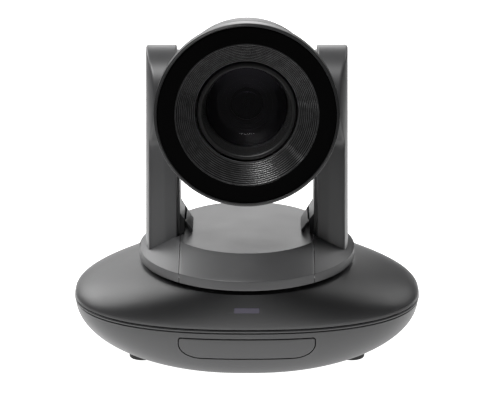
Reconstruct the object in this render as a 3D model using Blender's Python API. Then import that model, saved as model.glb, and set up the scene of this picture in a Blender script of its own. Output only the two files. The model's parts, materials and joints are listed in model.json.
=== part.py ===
"""Desktop PTZ camera: an oval base, a yoke that pans on it, and a head that tilts between the yoke's arms.

The frame is in metres with +Z up. The pan axis is the Z axis, the feet stand at z = 0 and the lens looks
along -Y. Each object is one piece of the real camera. Pieces of the head are modelled level, with their
origin on the tilt axis, under an empty that holds the head raised by REST_TILT.
"""

import math

import bmesh
import bpy
from mathutils import Matrix, Vector

MM = 0.001
GAP = 0.3 * MM  # clearance between two pieces that touch
SIDES = 48  # facets of the large round pieces
FINE_SIDES = 20  # facets of shafts, sockets and other small round pieces

# Base
RIM_HALF_X = 91.2 * MM
RIM_HALF_Y = 58.8 * MM
RIM_POWER = 2.38  # 2 is an ellipse, more is squarer
SPLIT_Z = 29.5 * MM  # where the top shell meets the bowl
LIP_HEIGHT = 1.6 * MM
BOWL_FLOOR_Z = 2.2 * MM
BOWL_FLOOR_RADIUS = 49.0 * MM
BOWL_POWER = 2.0  # roundness of the bowl's side, 2 is a quarter ellipse
DOME_POWER = 0.56  # how fast the top shell rises from the rim
SHELL_WALL = 2.4 * MM
BASE_TOP_Z = 47.6 * MM
BASE_TOP_RADIUS = 56.2 * MM
BASE_TOP_HOLE = 30.0 * MM
FLOOR_HOLE_RADIUS = 43.5 * MM
FLOOR_PLATE_TOP = 4.2 * MM
TRIPOD_BORE = 3.2 * MM  # clears the crests of a 1/4 inch tripod screw
FOOT_RADIUS = 7.0 * MM
FOOT_X = 54.8 * MM
FOOT_Y = 21.2 * MM
COVER_HALF_WIDTH = 34.6 * MM
COVER_LOW_Z = 13.1 * MM
COVER_HIGH_Z = 24.1 * MM
COVER_LOW_CORNER = (11.0 * MM, 7.5 * MM)  # reach along x and z
COVER_HIGH_CORNER = (1.2 * MM, 1.2 * MM)
LED_HALF_WIDTH = 6.4 * MM
LED_LOW_Z = 38.5 * MM
LED_HIGH_Z = 41.2 * MM
LED_CORNER = (0.5 * MM, 0.5 * MM)
TRAY_HALF_WIDTH = 42.0 * MM
TRAY_LOW_Z = 8.3 * MM
TRAY_HIGH_Z = 26.5 * MM
TRAY_BACK_Y = 44.5 * MM
TRAY_FACE_Y = 46.0 * MM
TRAY_WALL = 1.6 * MM

# Pan drive
CHASSIS_LOW_Z = 30.0 * MM
CHASSIS_HIGH_Z = 32.0 * MM
PAN_SHAFT_RADIUS = 8.0 * MM
CABLE_BORE = 5.0 * MM
PAN_BEARING_RADIUS = 13.7 * MM
PAN_PULLEY_RADIUS = 21.0 * MM
PAN_MOTOR_PULLEY_RADIUS = 6.0 * MM
PAN_MOTOR_X = 32.0 * MM
PAN_BELT_LOW_Z = 33.0 * MM
BELT_WIDTH = 2.5 * MM
BELT_THICKNESS = 1.0 * MM
PULLEY_FLANGE = 0.8 * MM

# Turntable and arms
DISC_RADIUS = 56.6 * MM
DISC_LOW_Z = 48.9 * MM
BAND_TOP_Z = 54.9 * MM
PLATE_RADIUS = 41.1 * MM
PLATE_Z = 64.4 * MM
DISC_WALL = 2.0 * MM
SEAM_X = 34.5 * MM  # the planes where the arm shells meet the centre cover
ARM_INNER_X = 36.0 * MM  # the open edge of the column, behind the face of its inner cover
ARM_HALF_DEPTH = 15.9 * MM
ARM_OUTER_RADIUS_LOW = 53.1 * MM
ARM_OUTER_RADIUS_HIGH = 51.9 * MM
ARM_KNEE_Z = 116.0 * MM  # the crease where the front starts to bulge
ARM_CROWN_Z = 140.5 * MM
ARM_CROWN_RADIUS = 22.0 * MM
ARM_WALL = 2.2 * MM
INNER_COVER_WALL = 1.6 * MM
GUSSET_TIP_X = 28.4 * MM
GUSSET_TOP_Z = 77.0 * MM
DECK_LOW_Z = 50.2 * MM
DECK_HIGH_Z = 52.2 * MM
BRACKET_X = 39.5 * MM
BRACKET_WALL = 1.7 * MM

# Tilt drive
TILT_Z = 134.1 * MM
REST_TILT = math.radians(5.2)  # the head is raised by this much at rest
TILT_SHAFT_RADIUS = 5.5 * MM
TILT_BEARING_RADIUS = 9.0 * MM
TILT_PULLEY_RADIUS = 10.0 * MM
TILT_MOTOR_PULLEY_RADIUS = 4.0 * MM
TILT_MOTOR_Z = 94.0 * MM
TILT_MOTOR_RADIUS = 11.0 * MM
TILT_BELT_X = 43.4 * MM

# Head, in its own frame: y runs back from the tilt axis
BEZEL_RADIUS = 46.2 * MM
BEZEL_FRONT_Y = -45.0 * MM
BEZEL_BACK_Y = -36.0 * MM
FACE_OUTER = 44.4 * MM
FACE_INNER = 35.9 * MM
HOOD_INNER = 25.7 * MM
BARREL_RADIUS = 24.9 * MM
BARREL_BORE = 20.6 * MM
BARREL_FRONT_Y = -34.0 * MM
BARREL_BACK_Y = 20.0 * MM
HOUSING_RADIUS = 39.0 * MM
HOUSING_HALF_WIDTH = 33.4 * MM
HOUSING_WALL = 2.0 * MM
HOUSING_SPLIT_Y = 12.0 * MM
HOUSING_BACK_Y = 34.7 * MM
CHASSIS_HALF = 28.0 * MM


# ---------------------------------------------------------------- materials


def material(name, color, roughness, metallic=0.0):
    """A plain Principled BSDF, made once for each name."""
    made = bpy.data.materials.get(name)
    if made:
        return made
    made = bpy.data.materials.new(name)
    made.use_nodes = True
    shader = made.node_tree.nodes["Principled BSDF"]
    shader.inputs["Base Color"].default_value = (*color, 1.0)
    shader.inputs["Roughness"].default_value = roughness
    shader.inputs["Metallic"].default_value = metallic
    return made


def satin_plastic():
    return material("satin_plastic", (0.075, 0.075, 0.082), 0.42)


def gloss_plastic():
    return material("gloss_plastic", (0.008, 0.008, 0.009), 0.08)


def black_plastic():
    return material("black_plastic", (0.015, 0.015, 0.016), 0.5)


def smoked_window():
    return material("smoked_window", (0.12, 0.11, 0.14), 0.15)


def rubber():
    return material("rubber", (0.012, 0.012, 0.012), 0.8)


def steel():
    return material("steel", (0.55, 0.55, 0.56), 0.35, 1.0)


def aluminium():
    return material("aluminium", (0.7, 0.7, 0.71), 0.4, 1.0)


def brass():
    return material("brass", (0.78, 0.6, 0.3), 0.3, 1.0)


def circuit_board():
    return material("circuit_board", (0.02, 0.16, 0.07), 0.45)


def lens_glass():
    return material("lens_glass", (0.01, 0.012, 0.02), 0.03)


# ---------------------------------------------------------------- solids


def add(name, bm, finish=None):
    """Turns a bmesh of one closed body into an object whose faces point out."""
    bmesh.ops.remove_doubles(bm, verts=bm.verts, dist=1e-7)
    bmesh.ops.recalc_face_normals(bm, faces=bm.faces)
    mesh = bpy.data.meshes.new(name)
    bm.to_mesh(mesh)
    bm.free()
    mesh.shade_smooth()
    mesh.set_sharp_from_angle(angle=math.radians(35))
    made = bpy.data.objects.new(name, mesh)
    bpy.context.scene.collection.objects.link(made)
    if finish:
        mesh.materials.append(finish)
    return made


def skin(name, rings, finish=None, loop=False):
    """Joins rings of points in order; a loop runs back to its first ring, and otherwise both ends are capped."""
    bm = bmesh.new()
    grid = [[bm.verts.new(point) for point in ring] for ring in rings]
    pairs = list(zip(grid, grid[1:]))
    if loop:
        pairs.append((grid[-1], grid[0]))
    else:
        bm.faces.new(grid[0])
        bm.faces.new(grid[-1])
    count = len(rings[0])
    for low, high in pairs:
        for i in range(count):
            j = (i + 1) % count
            bm.faces.new((low[i], low[j], high[j], high[i]))
    return add(name, bm, finish)


def turned(name, profile, finish=None, sides=SIDES, axis="Z", place=(0, 0, 0)):
    """Turns a closed outline of (radius, height) points about an axis; a radius of 0 ends in a pole."""
    bm = bmesh.new()
    columns = []
    for radius, height in profile:
        if radius == 0:
            columns.append([bm.verts.new((0, 0, height))] * sides)
            continue
        angles = [2 * math.pi * i / sides for i in range(sides)]
        columns.append([bm.verts.new((radius * math.cos(a), radius * math.sin(a), height)) for a in angles])
    for near, far in zip(columns, columns[1:] + columns[:1]):
        for i in range(sides):
            j = (i + 1) % sides
            corners = list(dict.fromkeys((near[i], near[j], far[j], far[i])))
            if len(corners) > 2:
                bm.faces.new(corners)
    turn = {"X": Matrix.Rotation(math.pi / 2, 4, "Y"), "Y": Matrix.Rotation(-math.pi / 2, 4, "X")}
    bmesh.ops.transform(bm, matrix=turn.get(axis, Matrix()), verts=bm.verts)
    bmesh.ops.translate(bm, vec=place, verts=bm.verts)
    return add(name, bm, finish)


def tube(name, bore, radius, low, high, finish=None, sides=FINE_SIDES, axis="Z", place=(0, 0, 0)):
    outline = [(bore, low), (radius, low), (radius, high), (bore, high)]
    return turned(name, outline, finish, sides, axis, place)


def rod(name, radius, low, high, finish=None, sides=FINE_SIDES, axis="Z", place=(0, 0, 0)):
    return turned(name, [(0, low), (radius, low), (radius, high), (0, high)], finish, sides, axis, place)


def box(name, low, high, finish=None):
    bm = bmesh.new()
    bmesh.ops.create_cube(bm, size=1.0)
    size = Vector(high) - Vector(low)
    bmesh.ops.scale(bm, vec=size, verts=bm.verts)
    bmesh.ops.translate(bm, vec=Vector(low) + size / 2, verts=bm.verts)
    return add(name, bm, finish)


def prism(name, outline, low, high, axis, finish=None):
    """Extrudes a flat outline along an axis; its points are the other two coordinates in X, Y, Z order."""
    spread = {"X": lambda p, h: (h, p[0], p[1]), "Y": lambda p, h: (p[0], h, p[1]), "Z": lambda p, h: (*p, h)}
    rings = [[spread[axis](point, height) for point in outline] for height in (low, high)]
    return skin(name, rings, finish)


def combine(target, tool, operation="DIFFERENCE", keep=False):
    """Applies a Boolean to the target's mesh and removes the tool unless it is kept."""
    modifier = target.modifiers.new("cut", "BOOLEAN")
    modifier.operation = operation
    modifier.solver = "EXACT"
    modifier.object = tool
    graph = bpy.context.evaluated_depsgraph_get()
    graph.update()
    result = bpy.data.meshes.new_from_object(target.evaluated_get(graph))
    target.modifiers.remove(modifier)
    target.data = result
    result.shade_smooth()
    result.set_sharp_from_angle(angle=math.radians(35))
    if not keep:
        bpy.data.objects.remove(tool)
    return target


def arc(centre, radius, start, stop, steps):
    """Points on an arc in degrees, both ends included."""
    angles = [math.radians(start + (stop - start) * i / steps) for i in range(steps + 1)]
    return [(centre[0] + radius * math.cos(a), centre[1] + radius * math.sin(a)) for a in angles]


def rounded_outline(half_width, low, high, low_corner, high_corner, grow=0.0):
    """A rectangle about x = 0 with elliptical lower and upper corners, grown outward by a margin."""
    right, bottom, top = half_width + grow, low - grow, high + grow
    low_x, low_z = (reach + grow for reach in low_corner)
    high_x, high_z = (reach + grow for reach in high_corner)

    def corner(centre, reach_x, reach_z, start, steps):
        unit = arc((0, 0), 1.0, start, start + 90, steps)
        return [(centre[0] + reach_x * x, centre[1] + reach_z * z) for x, z in unit]

    points = corner((right - low_x, bottom + low_z), low_x, low_z, -90, 5)
    points += corner((right - high_x, top - high_z), high_x, high_z, 0, 3)
    points += corner((high_x - right, top - high_z), high_x, high_z, 90, 3)
    points += corner((low_x - right, bottom + low_z), low_x, low_z, 180, 5)
    return points


def oval(half_x, half_y, power, z, count=SIDES):
    """A superellipse at height z."""
    points = []
    for i in range(count):
        c, s = math.cos(2 * math.pi * i / count), math.sin(2 * math.pi * i / count)
        x = half_x * math.copysign(abs(c) ** (2 / power), c)
        y = half_y * math.copysign(abs(s) ** (2 / power), s)
        points.append((x, y, z))
    return points


def parented(pieces, parent):
    for piece in pieces:
        piece.parent = parent
    return pieces


# ---------------------------------------------------------------- base


def bowl_ring(step, inset=0.0):
    """The bowl's section from its rim (step 0) to its floor (step 1), moved inward by inset."""
    angle = step * math.pi / 2
    out = max(math.cos(angle), 0.0) ** (2 / BOWL_POWER)
    down = math.sin(angle) ** (2 / BOWL_POWER)
    top = SPLIT_Z - LIP_HEIGHT
    half_x = BOWL_FLOOR_RADIUS + (RIM_HALF_X - BOWL_FLOOR_RADIUS) * out - inset
    half_y = BOWL_FLOOR_RADIUS + (RIM_HALF_Y - BOWL_FLOOR_RADIUS) * out - inset
    z = top - (top - BOWL_FLOOR_Z - inset) * down
    return oval(half_x, half_y, RIM_POWER, z)


def bowl_steps(count=5):
    return [i / count for i in range(count + 1)]


def bowl_solid(name, inset=0.0):
    """The bowl as a filled body, used to trim what lies against it."""
    lip = oval(RIM_HALF_X - inset, RIM_HALF_Y - inset, RIM_POWER, SPLIT_Z - GAP / 2)
    return skin(name, [lip] + [bowl_ring(step, inset) for step in bowl_steps()])


def bowl_shell(name, finish=None):
    rim_z = SPLIT_Z - GAP / 2
    outer = [oval(RIM_HALF_X, RIM_HALF_Y, RIM_POWER, rim_z)] + [bowl_ring(step) for step in bowl_steps()]
    hole = [oval(FLOOR_HOLE_RADIUS, FLOOR_HOLE_RADIUS, 2, z) for z in (BOWL_FLOOR_Z, BOWL_FLOOR_Z + SHELL_WALL)]
    inner = [bowl_ring(step, SHELL_WALL) for step in reversed(bowl_steps())]
    inner.append(oval(RIM_HALF_X - SHELL_WALL, RIM_HALF_Y - SHELL_WALL, RIM_POWER, rim_z))
    return skin(name, outer + hole + inner, finish, loop=True)


def dome_ring(step, inset=0.0):
    """The top shell's section from its rim (step 0) to the turntable's edge (step 1)."""
    inward = step**2
    low = SPLIT_Z + GAP / 2
    half_x = RIM_HALF_X + (BASE_TOP_RADIUS - RIM_HALF_X) * inward - inset
    half_y = RIM_HALF_Y + (BASE_TOP_RADIUS - RIM_HALF_Y) * inward - inset
    power = RIM_POWER + (2 - RIM_POWER) * inward
    return oval(half_x, half_y, power, low + (BASE_TOP_Z - low - inset) * inward**DOME_POWER)


def dome_shell(name, finish=None):
    steps = [i / 5 for i in range(6)]
    outer = [dome_ring(step) for step in steps]
    hole = [oval(BASE_TOP_HOLE, BASE_TOP_HOLE, 2, z) for z in (BASE_TOP_Z, BASE_TOP_Z - SHELL_WALL)]
    inner = [dome_ring(step, SHELL_WALL) for step in reversed(steps)]
    return skin(name, outer + hole + inner, finish, loop=True)


def fitted_panel(name, shell, outline, finish):
    """Splits a panel out of the front of a shell: the shell gets the opening and the panel fills it with a gap."""
    panel = prism(name, outline(0.0), -0.1, -0.02, "Y", finish)
    combine(panel, shell, "INTERSECT", keep=True)
    combine(shell, prism("cutter", outline(GAP), -0.1, -0.02, "Y"))
    return panel


def make_base_shells():
    bowl = bowl_shell("base_bowl", satin_plastic())
    dome = dome_shell("base_top_shell", satin_plastic())

    def cover_outline(grow):
        return rounded_outline(COVER_HALF_WIDTH, COVER_LOW_Z, COVER_HIGH_Z, COVER_LOW_CORNER, COVER_HIGH_CORNER, grow)

    def led_outline(grow):
        return rounded_outline(LED_HALF_WIDTH, LED_LOW_Z, LED_HIGH_Z, LED_CORNER, LED_CORNER, grow)

    fitted_panel("front_cover", bowl, cover_outline, satin_plastic())
    fitted_panel("status_led_window", dome, led_outline, smoked_window())
    tray_hole = TRAY_HALF_WIDTH + GAP
    combine(
        bowl,
        box("cutter", (-tray_hole, 0.03, TRAY_LOW_Z - GAP), (tray_hole, 0.08, TRAY_HIGH_Z + GAP)),
    )


def make_rear_tray():
    """The recessed connector panel, trimmed flush with the bowl's outer surface."""
    tray = box(
        "rear_io_panel",
        (-TRAY_HALF_WIDTH, TRAY_BACK_Y, TRAY_LOW_Z),
        (TRAY_HALF_WIDTH, 0.08, TRAY_HIGH_Z),
        black_plastic(),
    )
    combine(tray, bowl_solid("trimmer"), "INTERSECT")
    inner = TRAY_HALF_WIDTH - TRAY_WALL
    combine(
        tray,
        box("cutter", (-inner, TRAY_FACE_Y, TRAY_LOW_Z + TRAY_WALL), (inner, 0.09, TRAY_HIGH_Z - TRAY_WALL)),
    )


def make_feet():
    for side, x in (("left", -FOOT_X), ("right", FOOT_X)):
        for end, y in (("front", -FOOT_Y), ("rear", FOOT_Y)):
            foot = rod(f"foot_{end}_{side}", FOOT_RADIUS, 0.0, 12 * MM, rubber(), place=(x, y, 0))
            combine(foot, bowl_solid("trimmer", -GAP))


def make_floor():
    floor_radius = FLOOR_HOLE_RADIUS - GAP
    tube("bottom_plate", 6.5 * MM, floor_radius, BOWL_FLOOR_Z, FLOOR_PLATE_TOP, steel(), SIDES)
    flange = FLOOR_PLATE_TOP + GAP
    insert = [
        (TRIPOD_BORE, BOWL_FLOOR_Z),
        (6.2 * MM, BOWL_FLOOR_Z),
        (6.2 * MM, flange),
        (9.0 * MM, flange),
        (9.0 * MM, 6.0 * MM),
        (5.5 * MM, 6.0 * MM),
        (5.5 * MM, 12.0 * MM),
        (TRIPOD_BORE, 12.0 * MM),
    ]
    turned("tripod_insert", insert, brass(), FINE_SIDES)


def make_base_boards():
    board = box("main_circuit_board", (-31 * MM, -34 * MM, 8 * MM), (31 * MM, 38 * MM, 9.6 * MM), circuit_board())
    combine(board, rod("cutter", 10 * MM, 0.0, 20 * MM))
    box("led_board", (-10 * MM, -52.9 * MM, 35 * MM), (10 * MM, -51.7 * MM, 43 * MM), circuit_board())
    box("infrared_receiver", (17 * MM, -52.6 * MM, 16 * MM), (24 * MM, -48.5 * MM, 22.5 * MM), black_plastic())


def socket(name, x, z, width, height, reach, depth, finish):
    """A rectangular connector on the tray's face, with its mouth facing +Y."""
    front = TRAY_FACE_Y + GAP + reach
    half, tall, rim = width / 2, height / 2, 0.9 * MM
    shell = box(name, (x - half, TRAY_FACE_Y + GAP, z - tall), (x + half, front, z + tall), finish)
    mouth_low = (x - half + rim, front - depth, z - tall + rim)
    mouth_high = (x + half - rim, front + 0.01, z + tall - rim)
    return combine(shell, box("cutter", mouth_low, mouth_high))


def round_socket(name, x, z, radius, bore, reach, depth, finish):
    back = TRAY_FACE_Y + GAP
    outline = [(0, 0), (radius, 0), (radius, reach), (bore, reach), (bore, reach - depth), (0, reach - depth)]
    return turned(name, outline, finish, FINE_SIDES, "Y", (x, back, z))


def make_sockets():
    round_socket("coax_socket", -34.5 * MM, 17.4 * MM, 4.9 * MM, 3.4 * MM, 7.5 * MM, 6.0 * MM, steel())
    socket("video_socket", -20 * MM, 20.9 * MM, 15 * MM, 6.4 * MM, 5.5 * MM, 5.0 * MM, steel())
    socket("data_socket", -20 * MM, 13.4 * MM, 13.2 * MM, 6.4 * MM, 5.5 * MM, 5.0 * MM, steel())
    round_socket("audio_socket", -7.6 * MM, 20.6 * MM, 3.4 * MM, 2.2 * MM, 5.0 * MM, 4.5 * MM, black_plastic())
    socket("network_socket", 4.8 * MM, 17.0 * MM, 15.6 * MM, 13.4 * MM, 5.5 * MM, 5.0 * MM, steel())
    round_socket("serial_socket", 19.6 * MM, 17.2 * MM, 5.4 * MM, 4.2 * MM, 5.0 * MM, 4.4 * MM, black_plastic())
    round_socket("power_socket", 32.8 * MM, 14.4 * MM, 4.3 * MM, 3.2 * MM, 5.0 * MM, 4.6 * MM, black_plastic())


def make_rear_controls():
    """A guide ring on the tray would hide the button, so each control is a plain cap on a short stem."""
    back = TRAY_FACE_Y + 1.6 * MM
    button = [(0, 0), (1.9, 0), (1.9, 2.2), (1.5, 2.6), (0, 2.6)]
    profile = [(r * MM, y * MM) for r, y in button]
    turned("reset_button", profile, black_plastic(), FINE_SIDES, "Y", (-7.6 * MM, back, 13.2 * MM))
    dial = turned(
        "format_dial",
        [(0, 0), (2.8 * MM, 0), (2.8 * MM, 2.4 * MM), (0, 2.4 * MM)],
        gloss_plastic(),
        FINE_SIDES,
        "Y",
        (32.8 * MM, TRAY_FACE_Y + GAP, 21.8 * MM),
    )
    top = TRAY_FACE_Y + GAP + 2.4 * MM
    low = (32.4 * MM, top - 0.8 * MM, 19.6 * MM)
    combine(dial, box("cutter", low, (33.2 * MM, top + 1 * MM, 24.0 * MM)))


# ---------------------------------------------------------------- pan drive


def belt_outline(apart, big, small, grow, steps=16):
    """The loop round two circles on a line, the big one at 0 and the small one at apart."""
    lean = math.degrees(math.acos((big - small) / apart))
    around_small = arc((apart, 0), small + grow, -lean, lean, steps // 2)
    return around_small + arc((0, 0), big + grow, lean, 360 - lean, steps)


def belt(name, apart, big, small, place):
    """A flat belt loop in the plane of its two pulleys, which place puts in the camera."""
    inside = belt_outline(apart, big, small, GAP)
    outside = belt_outline(apart, big, small, GAP + BELT_THICKNESS)
    rings = []
    for outline, height in ((inside, 0.0), (outside, 0.0), (outside, BELT_WIDTH), (inside, BELT_WIDTH)):
        rings.append([place(a, b, height) for a, b in outline])
    return skin(name, rings, rubber(), loop=True)


def pulley_outline(bore, radius, low):
    """A belt pulley's section: a drum between two flanges, with 0.3 mm of air beside the belt."""
    drum_low = low + PULLEY_FLANGE
    drum_high = drum_low + BELT_WIDTH + 2 * GAP
    rim = radius + BELT_THICKNESS
    top = drum_high + PULLEY_FLANGE
    sides = [(rim, low), (rim, drum_low), (radius, drum_low), (radius, drum_high), (rim, drum_high), (rim, top)]
    return [(bore, low)] + sides + [(bore, top)]


def make_pan_drive():
    chassis = prism(
        "base_chassis",
        [point[:2] for point in oval(52 * MM, 40 * MM, 2.6, 0, 48)],
        CHASSIS_LOW_Z,
        CHASSIS_HIGH_Z,
        "Z",
        steel(),
    )
    for x in (-36 * MM, 36 * MM):
        for y in (-20 * MM, 20 * MM):
            post = rod("post", 3 * MM, 4.9 * MM, CHASSIS_LOW_Z + 1 * MM, sides=12, place=(x, y, 0))
            combine(chassis, post, "UNION")
    combine(chassis, rod("cutter", PAN_BEARING_RADIUS + GAP, 0.02, 0.04))
    combine(chassis, rod("cutter", 2.5 * MM, 0.02, 0.04, place=(PAN_MOTOR_X, 0, 0)))
    tube("pan_bearing", PAN_SHAFT_RADIUS + GAP, PAN_BEARING_RADIUS, 26.5 * MM, CHASSIS_HIGH_Z, steel())
    motor_top = CHASSIS_LOW_Z - GAP
    rod("pan_motor", 13 * MM, 12 * MM, motor_top, aluminium(), place=(PAN_MOTOR_X, 0, 0))
    outline = pulley_outline(0.0, PAN_MOTOR_PULLEY_RADIUS, PAN_BELT_LOW_Z)
    stem = [(0.0, motor_top + GAP), (1.5 * MM, motor_top + GAP), (1.5 * MM, PAN_BELT_LOW_Z)]
    turned("pan_motor_pulley", stem + outline[1:], brass(), FINE_SIDES, "Z", (PAN_MOTOR_X, 0, 0))
    belt_low = PAN_BELT_LOW_Z + PULLEY_FLANGE + GAP
    belt(
        "pan_belt",
        PAN_MOTOR_X,
        PAN_PULLEY_RADIUS,
        PAN_MOTOR_PULLEY_RADIUS,
        lambda a, b, height: (a, b, belt_low + height),
    )


# ---------------------------------------------------------------- turntable and arms


def disc_solid(name, inset=0.0):
    """The turntable's outer form, or with an inset the space under its shell, open below."""
    low = DISC_LOW_Z - 2 * inset
    edge = [(DISC_RADIUS - inset, low), (DISC_RADIUS - inset, BAND_TOP_Z - 0.4 * inset)]
    plate = (PLATE_RADIUS - 0.4 * inset, PLATE_Z - inset)
    return turned(name, [(0, low)] + edge + [plate, (0, PLATE_Z - inset)])


def arm_side_outline(inset=0.0):
    """The arm seen from the side as (y, z): a straight column, a bulge in front and behind, and a round crown."""
    low = DISC_LOW_Z + 2 * MM
    crown = ARM_CROWN_RADIUS - inset
    drop = ARM_CROWN_Z - ARM_KNEE_Z
    step_in = ARM_CROWN_RADIUS - ARM_HALF_DEPTH
    bulge = (drop**2 + step_in**2) / (2 * step_in)
    bend = math.degrees(math.asin(drop / bulge))
    centre = ARM_CROWN_RADIUS - bulge
    back = arc((centre, ARM_CROWN_Z), bulge - inset, -bend, 0, 4)
    front = arc((-centre, ARM_CROWN_Z), bulge - inset, 180, 180 + bend, 4)
    top = arc((0, ARM_CROWN_Z), crown, 0, 180, 16)
    foot = ARM_HALF_DEPTH - inset
    return [(foot, low)] + back + top[1:-1] + front + [(-foot, low)]


def arm_solid(name, inner_x, inset=0.0):
    """The right arm's form: its side outline trimmed by an outer wall that runs round the pan axis."""
    arm = prism(name, arm_side_outline(inset), inner_x, 0.07, "X")
    low, high = 0.04, 0.17
    slope = (ARM_OUTER_RADIUS_HIGH - ARM_OUTER_RADIUS_LOW) / (ARM_CROWN_Z - PLATE_Z)
    radius_low = ARM_OUTER_RADIUS_LOW + slope * (low - PLATE_Z) - inset
    radius_high = ARM_OUTER_RADIUS_LOW + slope * (high - PLATE_Z) - inset
    wall = turned("trimmer", [(0, low), (radius_low, low), (radius_high, high), (0, high)], sides=96)
    return combine(arm, wall, "INTERSECT")


def mirrored(piece, name):
    """The same piece on the other side of the camera."""
    bm = bmesh.new()
    bm.from_mesh(piece.data)
    bmesh.ops.scale(bm, vec=(-1, 1, 1), verts=bm.verts)
    return add(name, bm, piece.data.materials[0])


def make_centre_cover():
    cover = disc_solid("turntable_cover")
    combine(cover, disc_solid("cutter", DISC_WALL))
    slab = SEAM_X - GAP / 2
    combine(cover, box("slab", (-slab, -0.07, 0.04), (slab, 0.07, 0.08)), "INTERSECT")
    cover.data.materials.clear()
    cover.data.materials.append(satin_plastic())
    return cover


def make_arm_shells():
    """Each arm shell is one moulding with its side of the turntable, open on its inner side."""
    seam = SEAM_X + GAP / 2
    arm = disc_solid("arm_shell_right")
    combine(arm, box("slab", (seam, -0.07, 0.04), (0.07, 0.07, 0.08)), "INTERSECT")
    combine(arm, arm_solid("column", ARM_INNER_X), "UNION")
    hollow = disc_solid("cutter", DISC_WALL)
    combine(hollow, box("slab", (0.0, -0.07, 0.04), (0.07, 0.07, 0.08)), "INTERSECT")
    combine(hollow, arm_solid("core", 0.03, ARM_WALL), "UNION")
    combine(arm, hollow)
    arm.data.materials.clear()
    arm.data.materials.append(satin_plastic())
    return [arm, mirrored(arm, "arm_shell_left")]


def make_inner_covers():
    """The panel that closes an arm's inner side, with the hole for the tilt shaft and a hollow gusset at its foot."""
    outline = arm_side_outline(ARM_WALL + GAP)
    low = PLATE_Z + GAP
    outline = [(y, max(z, low)) for y, z in outline]
    inner_x = SEAM_X + GAP / 2
    cover = prism("arm_cover_right", outline, inner_x, inner_x + INNER_COVER_WALL, "X", satin_plastic())
    gusset = gusset_solid("gusset", 0.0)
    combine(cover, gusset, "UNION")
    combine(cover, gusset_solid("cutter", 1.3 * MM))
    bore = TILT_SHAFT_RADIUS + 1 * MM
    combine(cover, rod("cutter", bore, 0.02, 0.06, axis="X", place=(0, 0, TILT_Z)))
    return [cover, mirrored(cover, "arm_cover_left")]


def gusset_solid(name, inset):
    """A flared skirt on the arm's inner face; with an inset, the pocket inside it, which opens forward."""
    low = PLATE_Z + GAP - 4 * inset
    root = SEAM_X + GAP / 2 + 0.6 * MM
    tip = GUSSET_TIP_X + inset
    front, back = -13.0 * MM - 4 * inset, 12.0 * MM - inset
    tip_front, tip_back = -9.2 * MM - 4 * inset, 9.8 * MM - inset
    top = GUSSET_TOP_Z - 2 * inset
    step = 1.5 * MM - inset
    shift = 2 * inset if inset else 0.0
    floor = [(root - shift, front), (tip, tip_front), (tip, tip_back), (root - shift, back)]
    bm = bmesh.new()
    base = [bm.verts.new((x, y, low)) for x, y in floor]
    edge = [bm.verts.new((tip, y, PLATE_Z + GAP + step)) for y in (tip_front, tip_back)]
    crest = [bm.verts.new((root - shift, y, top)) for y in (front, back)]
    bm.faces.new(base)
    bm.faces.new((base[1], base[2], edge[1], edge[0]))
    bm.faces.new((edge[0], edge[1], crest[1], crest[0]))
    bm.faces.new((base[0], base[1], edge[0], crest[0]))
    bm.faces.new((base[2], base[3], crest[1], edge[1]))
    bm.faces.new((base[3], base[0], crest[0], crest[1]))
    return add(name, bm)


def make_deck():
    deck = tube("turntable_deck", CABLE_BORE + GAP, 52 * MM, DECK_LOW_Z, DECK_HIGH_Z, steel(), SIDES)
    flange = DECK_LOW_Z - GAP
    shaft = [
        (CABLE_BORE, 24 * MM),
        (PAN_SHAFT_RADIUS, 24 * MM),
        (PAN_SHAFT_RADIUS, flange - 2 * MM),
        (14 * MM, flange - 2 * MM),
        (14 * MM, flange),
        (CABLE_BORE, flange),
    ]
    pulley = pulley_outline(PAN_SHAFT_RADIUS + GAP, PAN_PULLEY_RADIUS, PAN_BELT_LOW_Z)
    return [
        deck,
        turned("pan_shaft", shaft, steel(), FINE_SIDES),
        turned("pan_pulley", pulley, black_plastic(), 28),
    ]


def make_brackets():
    """Sheet-metal uprights on the deck that carry the tilt bearings; the right one also holds the tilt motor."""
    outer = BRACKET_X + BRACKET_WALL
    low = DECK_HIGH_Z + GAP
    pieces = []
    for side, name in ((1, "right"), (-1, "left")):
        post = box(f"arm_bracket_{name}", (BRACKET_X, -10 * MM, low), (outer, 10 * MM, TILT_Z + 12 * MM), steel())
        foot = box("foot", (26 * MM, -10 * MM, low), (BRACKET_X + 0.5 * MM, 10 * MM, low + BRACKET_WALL))
        combine(post, foot, "UNION")
        bore = TILT_BEARING_RADIUS + GAP
        post_top = box("widening", (BRACKET_X, -13 * MM, TILT_Z - 13 * MM), (outer, 13 * MM, TILT_Z + 12 * MM))
        combine(post, post_top, "UNION")
        combine(post, rod("cutter", bore, 0.03, 0.05, axis="X", place=(0, 0, TILT_Z)))
        if name == "right":
            collar = box("widening", (BRACKET_X, -13.3 * MM, 80 * MM), (outer, 13.3 * MM, 108 * MM))
            combine(post, collar, "UNION")
            window = TILT_MOTOR_RADIUS + GAP
            combine(post, rod("cutter", window, 0.03, 0.05, axis="X", place=(0, 0, TILT_MOTOR_Z)))
        else:
            post = mirrored_in_place(post)
        pieces.append(post)
        bearing = tube(
            f"tilt_bearing_{name}",
            TILT_SHAFT_RADIUS + GAP,
            TILT_BEARING_RADIUS,
            -2.3 * MM,
            2.3 * MM,
            steel(),
            axis="X",
            place=(side * (BRACKET_X + BRACKET_WALL / 2), 0, TILT_Z),
        )
        pieces.append(bearing)
    return pieces


def mirrored_in_place(piece):
    name = piece.name
    other = mirrored(piece, "mirror")
    bpy.data.objects.remove(piece)
    other.name = name
    return other


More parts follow.
